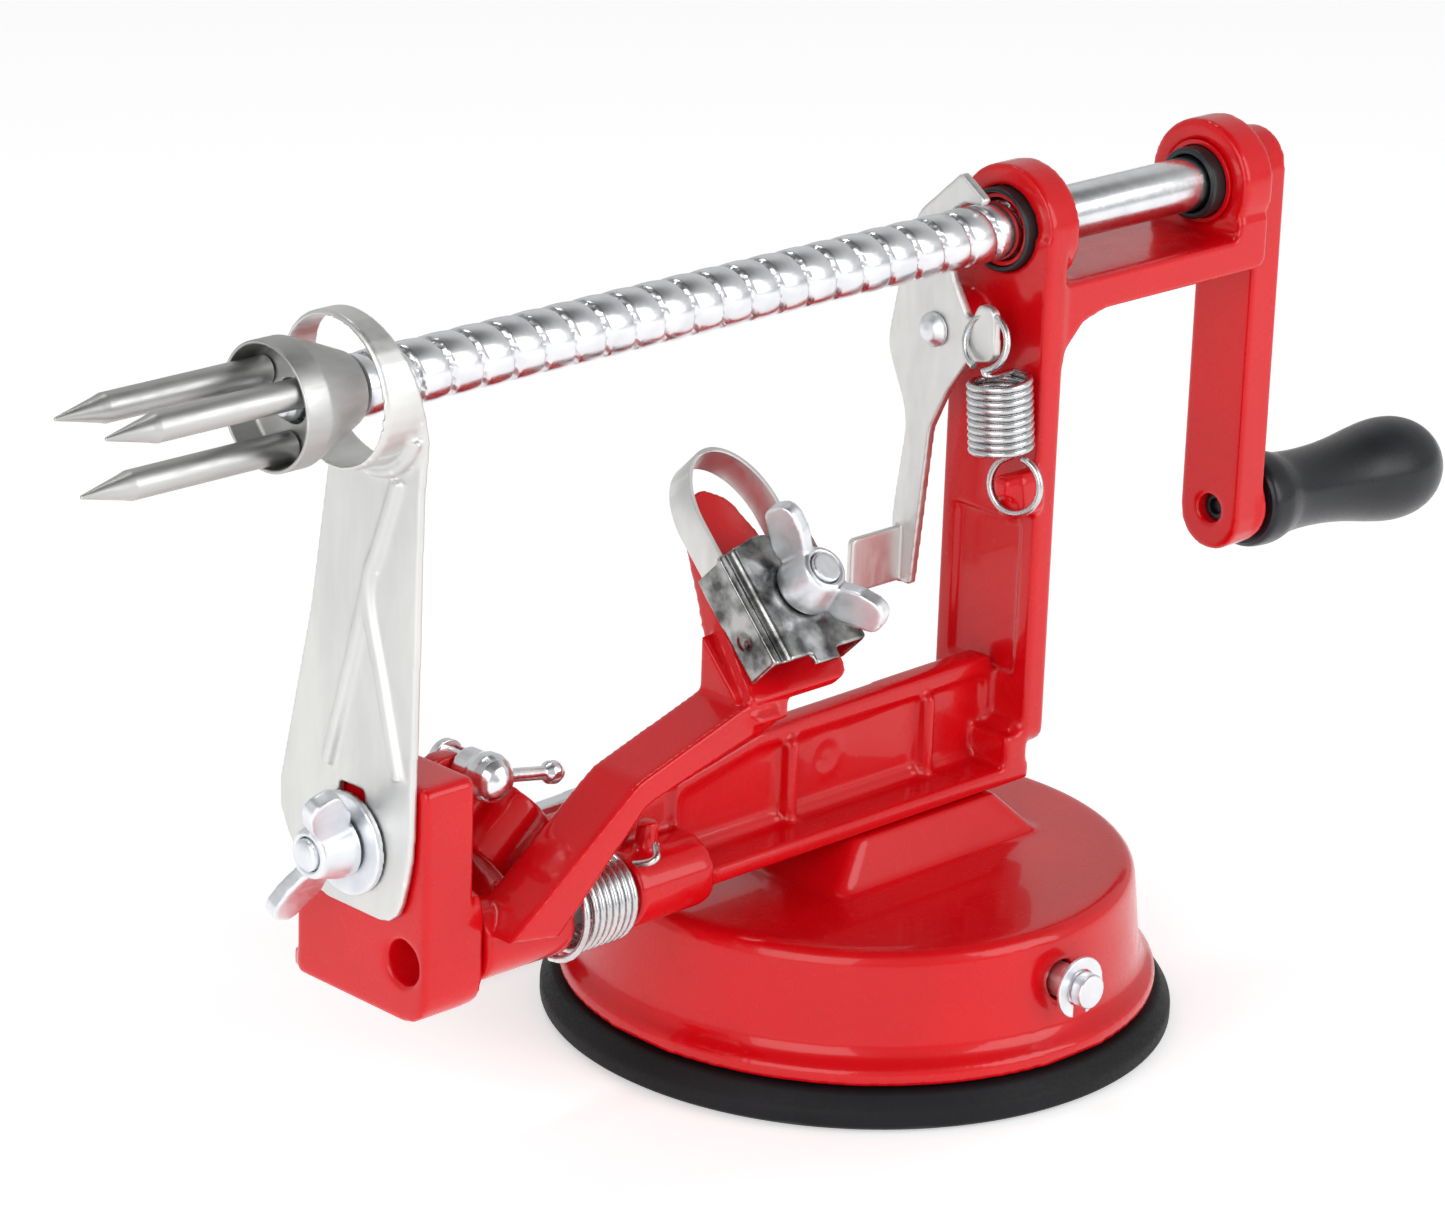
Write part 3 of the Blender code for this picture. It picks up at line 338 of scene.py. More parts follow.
def smooth_path(points, between=8):
    """A Catmull-Rom curve through the points."""
    points = [Vector(p) for p in points]
    padded = [2 * points[0] - points[1], *points, 2 * points[-1] - points[-2]]
    made = []
    for a, b, c, d in zip(padded, padded[1:], padded[2:], padded[3:]):
        for n in range(between):
            t = n / between
            made.append(0.5 * ((2 * b) + (c - a) * t + (2 * a - 5 * b + 4 * c - d) * t * t
                               + (3 * b - a - 3 * c + d) * t ** 3))
    return made + [points[-1]]


def helix(centre, direction, radius, pitch, turns, per_turn=28):
    """Points of a coil about an axis through the centre."""
    turn = Vector(direction).normalized().to_track_quat("Z", "Y").to_matrix()
    points = []
    for n in range(round(turns * per_turn) + 1):
        angle = 2 * pi * n / per_turn
        points.append(Vector(centre) + turn @ Vector((radius * cos(angle), radius * sin(angle),
                                                      pitch * n / per_turn)))
    return points


def one_skin(obj, voxel):
    remesh = obj.modifiers.new("one skin", "REMESH")
    remesh.mode = "VOXEL"
    remesh.voxel_size = voxel * MM


def cast(name, parts, voxel, rounds, cutters=()):
    """One body with softly rounded edges and fillets, from overlapping closed parts less the cutters."""
    bm = bmesh.new()
    for part in parts:
        mesh = part.data.copy()
        mesh.transform(part.matrix_world)
        bm.from_mesh(mesh)
        bpy.data.meshes.remove(mesh)
    bmesh.ops.remove_doubles(bm, verts=bm.verts, dist=WELD)
    made = object_of(name, bm)
    one_skin(made, voxel)
    if cutters:
        made = settle(made)
        for cutter in cutters:
            removal = made.modifiers.new("removal", "BOOLEAN")
            removal.operation = "DIFFERENCE"
            removal.object = cutter
        made = settle(made)
        one_skin(made, voxel)
    if rounds:
        soften = made.modifiers.new("soft edges", "SMOOTH")
        soften.factor = 0.5
        soften.iterations = rounds
    made = settle(made)
    for used in (*parts, *cutters):
        if used.name not in frame["nodes"]:
            bpy.data.objects.remove(used, do_unlink=True)
    return made


def show(piece, *nodes, body=None, slot=None, angle=40):
    """Gives the piece its body, its finish and smooth shading, in place of the CAD nodes it stands for."""
    body = body or BODY_OF[nodes[0]]
    slot = slot or SLOT_OF[nodes[0]]
    piece.data.materials.clear()
    piece.data.materials.append(FINISHES[slot])
    piece.data.shade_smooth()
    if angle:
        piece.data.set_sharp_from_angle(angle=radians(angle))
    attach(piece, body)
    if nodes:
        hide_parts(*nodes)
    return piece


def recast(node, voxel, rounds, extra=(), cutters=()):
    """The CAD node's own shape with softly rounded edges, and any extra detail grown onto it."""
    made = cast(node + "_body", [frame["nodes"][node], *extra], voxel, rounds, cutters)
    return show(made, node, angle=0)


# ---------------------------------------------------------------- castings

def ring_mark(x, z):
    """A faint raised moulding ring on the web's front face."""
    return lathe("ring_mark", [(3.5, 0.6, 0), (3.5, -0.25, 0.2), (2.7, -0.25, 0.2), (2.7, 0.6, 0),
                               (3.5, 0.6, 0)], (x, -2.2, z), (0, 1, 0), 40)


def web_border():
    """The raised border that frames the web's recessed panels."""
    outer = rounded([(-45.0, 37.4, 0.5), (26.0, 37.4, 0.5), (26.0, 54.4, 0.5), (-27.0, 53.6, 4),
                     (-45.0, 49.7, 1)])
    inner = rounded([(-44.2, 38.6, 2.0), (24.6, 38.6, 2.0), (24.6, 51.6, 2.0), (-27.0, 51.2, 4),
                     (-44.2, 47.6, 2)])
    return plate("web_border", outer, -3.1, -1.4, "XZ", [inner[::-1]])


def spring_lug():
    """The wedge on the upright's corner that holds the spring's lower ring."""
    outline = rounded([(-12.8, 81.6, 1.2), (-8.0, 81.6, 1.0), (-8.0, 88.2, 1.0), (-11.8, 88.8, 1.4)])
    return plate("lug", outline, 20.6, 26.0, "YZ", bevel=0.7)


def block_step():
    """The thicker lower half of the block, round the pivot rod."""
    outline = rounded([(-10.4, 27.4, 5.0), (9.0, 27.4, 3.0), (9.0, 46.4, 4.0), (-10.4, 46.4, 2.0)])
    return plate("block_step", outline, -96.0, -90.9, "YZ", bevel=0.8)


def tapered_rim():
    """The flange that stiffens the head plate's left edge, deep at the foot and thin at the top."""
    back, foot, rise, thinning = -2, -12, 24, 0.9
    outline = rounded([(-13.4, -16.0, 1.0), (-7.6, -16.0, 0), (-8.2, 2.0, 0), (-6.0, 14.0, 2.0),
                       (-7.8, 16.4, 1.5), (-12.0, -2.0, 30)])
    rim = plate("rim", outline, -8.4, -1.5, head_plane())
    into_head = head_plane().inverted()
    for vert in rim.data.vertices:
        place = into_head @ vert.co / MM
        if place.z < back:
            share = min(1.0, max(0.0, (place.y - foot) / rise))
            place.z = back + (place.z - back) * (1 - thinning * share)
            vert.co = head_plane() @ (place * MM)
    return rim


def peeler_arm():
    """Sleeve on the rod, the bent strip, and the sloping head plate that backs the blade."""
    sleeve = lathe("sleeve", [(3.0, 17.4, 0.2), (6.2, 17.4, 0.6), (6.2, 0, 0.6), (3.0, 0, 0.2),
                              (3.0, 17.4, 0.2)], (-90.4, ROD_Y, ROD_Z), ALONG_SHAFT, 64)
    strip_outline = rounded([(-90.0, 39.6, 0), (-64.5, 58.6, 7.0), (-42.6, 65.6, 0), (-39.0, 64.6, 0),
                             (-39.6, 60.6, 0), (-62.6, 54.6, 7.0), (-80.0, 38.0, 0)])
    strip = plate("strip", strip_outline, -15.4, -4.9, "XZ")
    head_outline = rounded([(-13.4, -13.2, 1.0), (7.4, -13.2, 2.5), (9.0, -4.0, 6.0), (5.0, 12.0, 12.0),
                            (2.6, 20.0, 4.0), (-3.0, 23.4, 3.0), (-8.6, 14.0, 14.0), (-11.8, -2.0, 30.0)])
    head = plate("head", head_outline, -3.0, 0.0, head_plane(), [circle(0, 0, 2.6)])
    gusset = plate("gusset", [(-15.2, 61.4), (-5.2, 61.4), (-5.2, 74.6), (-15.2, 64.4)], -42.8, -33.0, "YZ")
    foot_outline = rounded([(-10.9, 40.6, 0), (-5.0, 40.6, 0), (-5.0, 43.1, 1.0), (-10.9, 43.1, 1.0)])
    foot = plate("foot", foot_outline, -86.0, -74.6, "YZ")
    parts = [sleeve, strip, head, tapered_rim(), gusset, foot]
    return show(cast("peeler_arm_body", parts, 0.45, 9), "peeler_arm", angle=0)


def base_piece():
    """The domed shell with its flange, the pedestal that narrows upwards, and the two shaft recesses."""
    inner, wall, middle_x = 43.4, 2.6, 4
    shell = lathe("dome", [
        (0, DOME_TOP, 0), (44.2, DOME_TOP, 2.4), (46.0, 10.6, 3.0), (48.6, 9.0, 0.8), (48.6, 6.4, 0.4),
        (inner, 6.4, 0.3), (inner - 1.4, DOME_TOP - wall, 2.0), (0, DOME_TOP - wall, 0)],
        (0, 0, 0), (0, 0, 1), 180)
    outline = rounded([(-20.4, -14.6, 2.0), (28.4, -14.6, 2.0), (28.4, 14.6, 2.0), (-20.4, 14.6, 2.0)])
    foot = plate("pedestal", outline, DOME_TOP - 1, 34.3, "XY", bevel=0.0)
    for vert in foot.data.vertices:
        if vert.co.z > 30 * MM:
            vert.co.x = middle_x * MM + (vert.co.x - middle_x * MM) * 0.66
            vert.co.y *= 0.74
    drill = [(0, 0, 0), (3.2, 0, 0), (3.2, 14, 0), (0, 14, 0)]
    recess = lathe("recess", drill, (0, -52, CAM_Z), (0, 1, 0), 32)
    far = lathe("recess_far", drill, (0, 52, CAM_Z), (0, -1, 0), 32)
    return show(cast("base_casting_body", [shell, foot], 0.6, 6, [recess, far]), "base_casting", angle=0)


recast("frame_casting", 0.5, 9, [web_border(), ring_mark(-11.2, 46.0), spring_lug()])
recast("end_block", 0.45, 14, [block_step()])
peeler_arm()
recast("crank_arm", 0.45, 8)
base_piece()


# ---------------------------------------------------------------- small parts with rounded edges

VOXEL_AND_ROUNDS = {
    "clamp_lever": (0.22, 3), "blade_bolt": (0.25, 3), "slicer_washer": (0.25, 2), "blade_spacer": (0.4, 2),
    "suction_lever": (0.35, 3), "lever_grip": (0.35, 4), "lever_boss": (0.25, 2), "cam_shaft": (0.25, 2),
    "e_clip": (0.15, 2), "pad_stem": (0.5, 2), "frame_screw_left": (0.25, 2),
    "frame_screw_right": (0.25, 2), "stop_screw": (0.22, 2), "lever_rivet": (0.2, 2),
}
for small_node, (small_voxel, small_rounds) in VOXEL_AND_ROUNDS.items():
    recast(small_node, small_voxel, small_rounds)


def wing_nut(node, place, axis, across):
    """A cast wing nut: a flanged cone with a tapped hole and two broad swept wings."""
    way = frame_along(place, axis)
    side = way.to_3x3().inverted() @ Vector(across)
    way = way @ Matrix.Rotation(Vector((side.x, side.y)).angle_signed(Vector((1, 0))), 4, "Z")
    hub = lathe("hub", [(2.6, 0, 0), (5.0, 0, 0.4), (4.9, 1.6, 0.8), (3.7, 6.6, 0.8), (2.6, 6.6, 0.3),
                        (2.6, 0, 0)], (0, 0, 0), (0, 0, 1), 64)
    wings = []
    for hand in (1, -1):
        outline = rounded([(3.0, 0.7, 0), (7.6, 1.7, 3.0), (12.9, 5.9, 2.4), (11.0, 10.9, 2.6),
                           (6.3, 8.9, 3.0), (3.0, 6.0, 0)])
        wings.append(plate("wing", [(x * hand, z) for x, z in outline], -1.25, 1.25, "XZ", bevel=0.5))
    made = cast(node + "_body", [hub, *wings], 0.3, 7)
    made.matrix_world = way
    return show(settle(made), node, angle=0)


def plain_bars():
    """The slicer's bolt, the peeler arm's rod and the clamp's screw."""
    bolt = [(0, 0, 0), (4.4, 0, 0.4), (4.4, 4.1, 0.2), (2.5, 4.1, 0.1), (2.5, 24.6, 0.8), (0, 25.2, 0)]
    rod = [(0, 49.0, 0), (2.9, 49.0, 0.5), (2.9, 0, 0.5), (0, 0, 0)]
    screw = [(0, 0, 0), (3.2, 0.2, 0.4), (3.2, 1.6, 0.2), (2.1, 1.6, 0.1), (2.1, 10.4, 0.3), (0, 10.4, 0)]
    show(lathe("slicer_bolt_body", bolt, (-88.6, SLICER_Y, SLICER_Z), (-1, 0, 0), 48), "slicer_bolt")
    show(lathe("pivot_rod_body", rod, (-94.8, ROD_Y, ROD_Z), ALONG_SHAFT, 48), "pivot_rod")
    show(lathe("clamp_screw_body", screw, (-81.0, 10.8, 59.2), (0, -1, 0), 48), "clamp_screw")


wing_nut("slicer_wing_nut", (-106.0, SLICER_Y, SLICER_Z), (-1, 0, 0), (0, 0.43, -0.90))
wing_nut("blade_wing_nut", head_point(0, 0, 7.7), head_plane().to_3x3() @ Vector((0, 0, 1)), (-3.7, 7.0, 7.3))
plain_bars()


# ---------------------------------------------------------------- turned pieces

def thread_depth(phase):
    """How far the surface lies under the thread's crest: a broad round land and a narrow groove."""
    away = abs(phase % 1.0 - 0.5)
    land, barrel_depth, groove_depth = 0.39, 0.15, 0.68
    barrel = barrel_depth * min(away / land, 1.0) ** 2
    if away < land:
        return barrel
    return barrel + groove_depth / 2 * (1 - cos(pi * (away - land) / (0.5 - land)))


def drive_shaft():
    """The chromed shaft: a coarse right-hand feed thread in front, a plain bearing part behind."""
    sides, step = 72, 0.34
    steps = int((THREAD_END - THREAD_START) / step) + 1
    sections = [(-117.3, 0.0), (-117.3, 3.0), (-109.2, 3.0), (-108.9, 4.3)]
    sections += [(THREAD_START + step * n, None) for n in range(steps)]
    sections += [(27.0, SHAFT_RADIUS), (81.2, SHAFT_RADIUS), (81.25, 3.15), (88.0, 3.15), (88.15, 2.9),
                 (88.15, 0.0)]
    bm = bmesh.new()
    rows = []
    for x, r in sections:
        row = []
        if r == 0.0:
            row = [bm.verts.new((x * MM, 0, SHAFT_Z * MM))] * sides
        else:
            for n in range(sides):
                angle = 2 * pi * n / sides
                cut = thread_depth(x / THREAD_PITCH - angle / (2 * pi))
                radius = THREAD_CREST - cut if r is None else r
                row.append(bm.verts.new((x * MM, radius * MM * cos(angle),
                                         (SHAFT_Z + radius * sin(angle)) * MM)))
        rows.append(row)
    skin_between(bm, zip(rows, rows[1:]))
    return show(object_of("threaded_shaft", bm), "drive_shaft", angle=40)


def grip_profile():
    """The handle's waisted outline about its axis, with the blind hole for the pin."""
    through = [(0.0, 7.3), (0.8, 8.0), (2.8, 8.2), (4.8, 8.15), (6.6, 7.75), (9.0, 7.15), (12.5, 6.85),
               (17, 6.8), (22, 7.05), (27, 7.6), (32, 8.4), (36.5, 9.0), (39.5, 9.1), (42.4, 8.8),
               (45.2, 7.9), (47.8, 6.2), (49.5, 4.0), (50.25, 2.0), (50.4, 0.0)]
    curve = smooth_path([(z, r, 0) for z, r in through], 5)
    outside = [(max(0.0, p.y), p.x, 0) for p in reversed(curve)]
    return outside + [(2.2, 0, 0), (2.2, 36.0, 0), (0, 36.0, 0)]


def handle_direction():
    return Vector((cos(radians(HANDLE_DROOP)), 0, -sin(radians(HANDLE_DROOP))))


def handle_point(distance):
    return Vector(HANDLE_START) + handle_direction() * distance


def suction_cup():
    profile = [(0, 3.4, 0), (40.5, 3.4, 0.8), (42.0, 6.0, 0.6), (49.4, 6.0, 1.2), (51.4, 3.2, 1.8),
               (51.4, 0.9, 0.8), (50.0, 0, 0.8), (0, 0, 0)]
    show(lathe("suction_cup", profile, (0, 0, 0), (0, 0, 1), 180), "suction_pad")


def bushes():
    """The two bushes that turn in the casting, each behind the casting's own thin ring."""
    frame_body, frame_slot = BODY_OF["frame_casting"], SLOT_OF["frame_casting"]
    front, rear = (FRONT_BUSH_X, 0, SHAFT_Z), (REAR_BUSH_X, 0, SHAFT_Z)
    front_sleeve = [(6.8, 7.0, 0), (6.8, -1.4, 0.35), (6.0, -1.4, 0.35), (6.0, 1.6, 0.1), (4.9, 1.6, 0.2),
                    (4.9, 7.0, 0.2), (6.8, 7.0, 0)]
    front_seat = [(5.9, 1.5, 0), (5.9, -0.9, 0.2), (5.15, -0.7, 0.3), (5.15, 1.5, 0), (5.9, 1.5, 0)]
    rear_sleeve = [(6.8, 7.0, 0), (6.8, 1.0, 0.1), (6.0, 1.0, 0.1), (6.0, -2.8, 0.6), (4.9, -2.8, 0.35),
                   (4.9, 7.0, 0.2), (6.8, 7.0, 0)]
    rear_seat = [(6.95, 0.9, 0), (6.95, -0.2, 0.1), (6.1, -0.2, 0.2), (6.1, 0.9, 0), (6.95, 0.9, 0)]
    show(lathe("front_bush_sleeve", front_sleeve, front, ALONG_SHAFT, 72), "front_bush")
    show(lathe("bush_seat", front_seat, front, ALONG_SHAFT, 72), body=frame_body, slot=frame_slot)
    show(lathe("rear_bush_sleeve", rear_sleeve, rear, ALONG_SHAFT, 72), "rear_bush")
    show(lathe("rear_bush_seat", rear_seat, rear, ALONG_SHAFT, 72), body=frame_body, slot=frame_slot)


def fork():
    """The cup, its rivet and the three pointed prongs."""
    cup = [(3.3, 14.8, 0.2), (5.4, 14.8, 1.0), (8.4, 7.6, 2.5), (9.6, 4.4, 2.0), (9.6, 0, 0.28),
           (9.0, 0, 0.25), (8.9, 5.0, 0.9), (3.3, 5.0, 0.2), (3.3, 14.8, 0.2)]
    rivet = [(0, 3.4, 0), (2.7, 3.4, 0.2), (2.7, 1.0, 0.5), (1.9, 0.15, 0.5), (0, 0, 0)]
    spike = [(0, 37.0, 0), (2.2, 37.0, 0.1), (2.2, 8.4, 1.2), (1.85, 7.2, 0.8), (0.28, 0.25, 0.2), (0, 0, 0)]
    show(lathe("fork_cup", cup, (-124.4, 0, SHAFT_Z), ALONG_SHAFT, 96), "fork_hub")
    show(lathe("fork_rivet_head", rivet, (-121.6, 0, SHAFT_Z), ALONG_SHAFT, 48), "fork_rivet")
    for name, angle in (("prong_far", 30), ("prong_near", 150), ("prong_lower", 270)):
        y = PRONG_CIRCLE * cos(radians(angle))
        z = SHAFT_Z + PRONG_CIRCLE * sin(radians(angle))
        show(lathe(name + "_spike", spike, (-156.7, y, z), ALONG_SHAFT, 40), name)


def handle():
    """The waisted knob, its pin, and a near-black disc in the crank's pin hole: painted shade that makes the
    hole look deep.
    """
    along = handle_direction()
    spindle = [(0, 40, 0), (1.8, 40, 0.4), (2.1, 39.5, 0.2), (2.1, 3.6, 0.3), (0, 3.6, 0)]
    # socket: a near-black disc 0.35 to 1.6 mm down the pin hole, painted shade that stands for the hole's
    # dark depth.
    socket = [(0, 1.6, 0), (2.35, 1.6, 0), (2.35, 0.35, 0.2), (1.4, 0.35, 0.1), (1.2, 1.3, 0), (0, 1.3, 0)]
    show(lathe("handle_knob", grip_profile(), handle_point(6.6), along, 96), "handle_grip")
    show(lathe("handle_spindle", spindle, handle_point(0), along, 40), "handle_pin")
    # The near-black disc is painted shade in the pin hole, riding with the crank arm.
    show(lathe("pin_hole_shade", socket, handle_point(0), along, 40), body=BODY_OF["crank_arm"],
         slot=SLOT_OF["handle_grip"])


drive_shaft()
suction_cup()
bushes()
fork()
handle()


# ---------------------------------------------------------------- steel plates and blade

def lean_ring(plate_piece):
    """The coring ring's top leans towards the fork, and its rim is narrower there than at its foot."""
    foot, top, narrowing, lean = SHAFT_Z - 7.0, SHAFT_Z + 12.0, 0.5, 1.8
    for vert in plate_piece.data.vertices:
        share = min(1.0, max(0.0, (vert.co.z / MM - foot) / (top - foot)))
        x = vert.co.x / MM
        if share:
            vert.co.x = (RING_FRONT_X + (x - RING_FRONT_X) * (1 - narrowing * share) - lean * share) * MM


def slicer_plate():
    """The pressed holder: embossed ribs, a slot for the bolt, and the coring ring flared out of its top."""
    long_rib = ((-5.5, 112.2), (-1.6, 101.5), (0.9, 93.8), (-2.6, 80.0), (-6.2, 66.5))
    short_rib = ((0.9, 94.6), (5.0, 80.0), (9.6, 64.8))
    ribs = [wire("rib", smooth_path([(-104.0, y, z) for y, z in points], 6), 1.35, 3)
            for points in (long_rib, short_rib)]
    flare = []
    for n in range(25):
        angle = radians(-150 + 88 * n / 24)
        reach = 12.1 + 0.8 * sin(pi * n / 24)
        flare.append((-105.2, reach * cos(angle), SHAFT_Z + reach * sin(angle)))
    ribs.append(wire("flare", flare, 1.0, 3))
    slot_end = rounded([(0.4, 62.4, 0.5), (8.4, 62.4, 0.5), (8.4, 67.0, 0), (0.4, 67.0, 0)])
    ribs.append(plate("slot_end", slot_end, -104.15, -102.85, "YZ"))
    made = recast("slicer_plate", 0.34, 7, ribs)
    lean_ring(made)
    return made


def peeler_blade():
    """The arched cutting strip, with a slot ground along its crown."""
    centre, half, thick, foot, shoulder, crown = -2.4, 8.4, 0.8, -8.0, 15.0, 11.6
    arc = [pi * n / 40 for n in range(41)]
    outer = [(centre + half, foot)]
    outer += [(centre + half * cos(a), shoulder + crown * sin(a)) for a in arc]
    outer.append((centre - half, foot))
    inner = [(centre - half + thick, foot)]
    inner += [(centre + (half - thick) * cos(a), shoulder + (crown - thick) * sin(a)) for a in reversed(arc)]
    inner.append((centre + half - thick, foot))
    return show(plate("blade_strip", outer + inner, 0.3, 6.0, head_plane(), bevel=0.2, segments=2),
                "peeler_blade", angle=35)


def release_lever():
    """The flat lever whose notch hugs the shaft, with the spring's ear and the bent thumb tab."""
    outline = rounded([(9.8, 64.6, 0.6), (13.2, 64.6, 0.8), (14.6, 75.0, 20.0), (12.0, 93.0, 12.0),
                       (17.2, 104.0, 8.0), (14.4, 119.0, 12.0), (11.4, 127.4, 6.0), (2.6, 135.5, 1.0),
                       (-3.0, 131.9, 0.6), (-1.8, 130.9, 0.3), (1.5, 130.8, 1.5), (3.7, 129.5, 1.5),
                       (5.0, 127.3, 1.5), (5.3, 125.0, 1.5), (4.6, 121.4, 2.0), (3.2, 117.6, 1.0),
                       (-0.8, 111.4, 1.0), (-2.4, 115.0, 1.2), (-6.0, 115.0, 1.8), (-6.4, 106.4, 1.8),
                       (-0.6, 105.0, 2.0), (3.6, 99.0, 4.0), (7.0, 92.0, 6.0)])
    flat = plate("release_flat", outline, 19.0, 20.6, "YZ", [circle(6.6, 108.9, 2.0)])
    tab_outline = rounded([(7.6, 64.8, 1.0), (19.8, 64.8, 0.3), (19.8, 74.2, 0.3), (7.6, 74.2, 1.0)])
    tab = plate("release_tab", tab_outline, 12.0, 13.2, "XZ")
    return show(cast("release_lever_body", [flat, tab], 0.26, 3), "release_lever", angle=0)


def blade_bracket():
    """The folded steel cap, with a pressed groove along its left side and a riveted left wall."""
    groove = wire("groove", [head_point(-9.9, -12, 7.75), head_point(-9.9, 12, 7.75)], 1.15, 4)
    backing_outline = [(-12.2, -10.0), (-7.6, -10.0), (-7.6, 7.6), (-12.2, 7.6)]
    backing = plate("backing", backing_outline, 6.1, 6.6, head_plane())
    rivet = lathe("wall_rivet", [(0, 1.2, 0), (1.6, 1.2, 0), (1.6, 0.0, 0.6), (0, -0.4, 0)],
                  head_point(-12.4, -4.4, 3.6), ALONG_SHAFT, 32)
    lip_outline = rounded([(-4.6, -12.2, 0.5), (0.6, -12.2, 0.5), (0.6, -10.0, 0), (-4.6, -10.0, 0)])
    lip = plate("lip", lip_outline, 6.4, 7.4, head_plane())
    return recast("blade_bracket", 0.26, 3, [rivet, lip, backing], [groove])


slicer_plate()
blade_bracket()
peeler_blade()
release_lever()


# ---------------------------------------------------------------- springs

def arm_spring():
    """The close torsion spring: a wider first loop over the sleeve's end, and a leg to the beam's lug."""
    per_turn, turns, pitch, coil_radius, first_x = 28, 7.75, 1.32, 6.6, -71.1
    coil = []
    for n in range(round(turns * per_turn) + 1):
        angle = pi + 2 * pi * n / per_turn
        wide = max(0.0, 1 - n / per_turn)
        radius = coil_radius + 0.75 * wide
        coil.append(Vector((first_x + pitch * n / per_turn - 1.5 * wide, ROD_Y + radius * sin(angle),
                            ROD_Z + radius * cos(angle))))
    leg = smooth_path([coil[-1], coil[-1] + Vector((0.5, 0.4, 1.9)), Vector((-57.4, -10.6, 42.6)),
                       Vector((-54.6, -9.0, 44.2))], 8)[1:]
    return show(wire("arm_spring_wire", coil + leg, 0.6), "arm_spring")


def ring_points(centre, across, up, radius, first, last, count=26):
    """Part of a circle in the plane of the two directions, from one angle to the other in degrees."""
    across, up = Vector(across).normalized(), Vector(up).normalized()
    angles = [radians(first + (last - first) * n / count) for n in range(count + 1)]
    return [Vector(centre) + radius * (across * cos(a) + up * sin(a)) for a in angles]


def lever_spring():
    """The extension spring: a ring through the lever's ear, the coil, and a ring on the frame's lug."""
    turns = 10
    top, bottom = Vector((20.0, -6.9, 103.6)), Vector((20.3, -7.8, 91.9))
    down = bottom - top
    coil = helix(top, down, 4.8, down.length / turns, turns)
    upper = ring_points((18.6, -4.9, 109.4), (0, -1, 0), (0.25, 0, 1), 4.4, -80, 250)
    lower = ring_points((20.6, -10.8, 86.8), (0.2, -1, 0), (-0.1, 0, -1), 4.6, 250, -80)
    join_top = smooth_path([upper[0], upper[0] + Vector((0.6, -0.8, -1.0)), coil[0]], 5)
    join_bottom = smooth_path([coil[-1], lower[0] + Vector((0.6, -0.8, 1.0)), lower[0]], 5)
    points = upper[::-1] + join_top[1:-1] + coil + join_bottom[1:-1] + lower
    return show(wire("lever_spring_wire", points, 0.58), "lever_spring")


arm_spring()
lever_spring()

for node_name, node_object in frame["nodes"].items():
    if not node_object.hide_render:
        node_object.data.materials.clear()
        node_object.data.materials.append(FINISHES[SLOT_OF[node_name]])


# ---------------------------------------------------------------- studio

def floor():
    """A wide pale sheet just under the pad, bright enough to lose its own edge."""
    made = bpy.data.materials.new("floor")
    made.use_nodes = True
    shader = made.node_tree.nodes["Principled BSDF"]
    shader.inputs["Base Color"].default_value = (0.90, 0.90, 0.90, 1)
    shader.inputs["Roughness"].default_value = 0.9
    shader.inputs["Emission Color"].default_value = (1, 1, 1, 1)
    shader.inputs["Emission Strength"].default_value = 0.45
    bm = bmesh.new()
    bmesh.ops.create_grid(bm, x_segments=1, y_segments=1, size=6)
    ground = object_of("floor", bm)
    ground.location.z = -0.0002
    ground.data.materials.append(made)


def light(name, place, size, power):
    """A soft rectangular lamp that faces the middle of the object."""
    aim = (0, 0, 0.08)
    data = bpy.data.lights.new(name, "AREA")
    data.shape = "RECTANGLE"
    data.size, data.size_y = size
    data.energy = power
    lamp = bpy.data.objects.new(name, data)
    lamp.location = place
    lamp.rotation_euler = (Vector(place) - Vector(aim)).to_track_quat("Z", "Y").to_euler()
    bpy.context.scene.collection.objects.link(lamp)


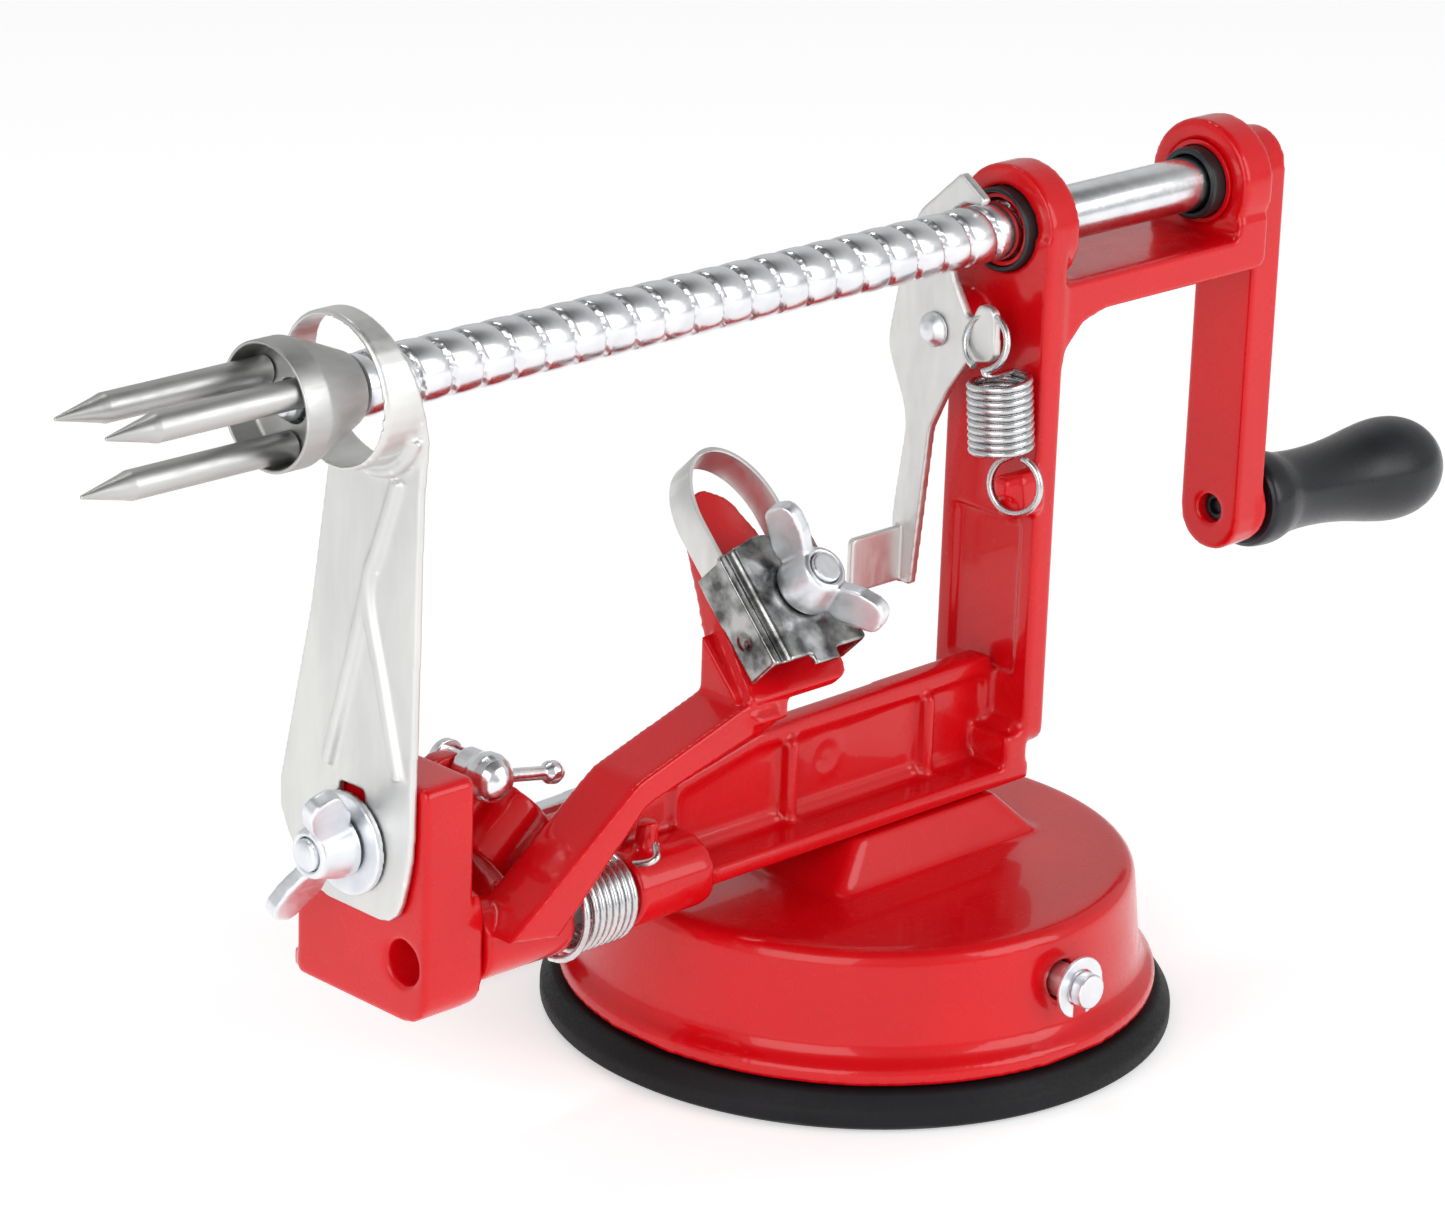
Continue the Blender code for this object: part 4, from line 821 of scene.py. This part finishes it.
def world():
    """A pale studio: bright all round, darker overhead, so that polished metal has grey bands."""
    made = bpy.data.worlds.new("studio")
    made.use_nodes = True
    nodes, links = made.node_tree.nodes, made.node_tree.links
    place = nodes.new("ShaderNodeTexCoord")
    parts = nodes.new("ShaderNodeSeparateXYZ")
    ramp = nodes.new("ShaderNodeValToRGB")
    links.new(place.outputs["Generated"], parts.inputs["Vector"])
    links.new(parts.outputs["Z"], ramp.inputs["Fac"])
    links.new(ramp.outputs["Color"], nodes["Background"].inputs["Color"])
    stops = ramp.color_ramp.elements
    stops[0].position, stops[0].color = 0.0, (0.70, 0.70, 0.71, 1)
    stops[1].position, stops[1].color = 1.0, (0.16, 0.16, 0.165, 1)
    for at, value in ((0.25, 1.0), (0.68, 0.86), (0.84, 0.26)):
        stop = stops.new(at)
        stop.color = (value, value, value, 1)
    nodes["Background"].inputs["Strength"].default_value = 0.66
    bpy.context.scene.world = made


def camera():
    """A long lens on the fork's side, above and to the left, at the photograph's viewing angle."""
    azimuth, elevation, roll = radians(44.66), radians(19.80), radians(1.90)
    forward = Vector((sin(azimuth) * cos(elevation), cos(azimuth) * cos(elevation), -sin(elevation)))
    level = Vector((cos(azimuth), -sin(azimuth), 0))
    upright = level.cross(forward)
    right = level * cos(roll) + upright * sin(roll)
    up = upright * cos(roll) - level * sin(roll)
    data = bpy.data.cameras.new("camera")
    data.sensor_fit, data.sensor_width, data.lens = "HORIZONTAL", 36.0, 130.97
    made = bpy.data.objects.new("camera", data)
    place = Matrix((right, up, -forward)).transposed().to_4x4()
    place.translation = Vector((-0.5701, -0.5434, 0.3492))
    made.matrix_world = place
    bpy.context.scene.collection.objects.link(made)
    bpy.context.scene.camera = made


floor()
world()
light("left", (-1.0, -0.45, 0.50), (0.8, 0.8), 5.0)
light("right", (0.45, -1.05, 0.55), (0.8, 0.8), 5.5)
light("top", (0.0, 0.35, 1.1), (0.5, 0.12), 1.2)
camera()
bpy.context.scene.view_settings.view_transform = "Standard"
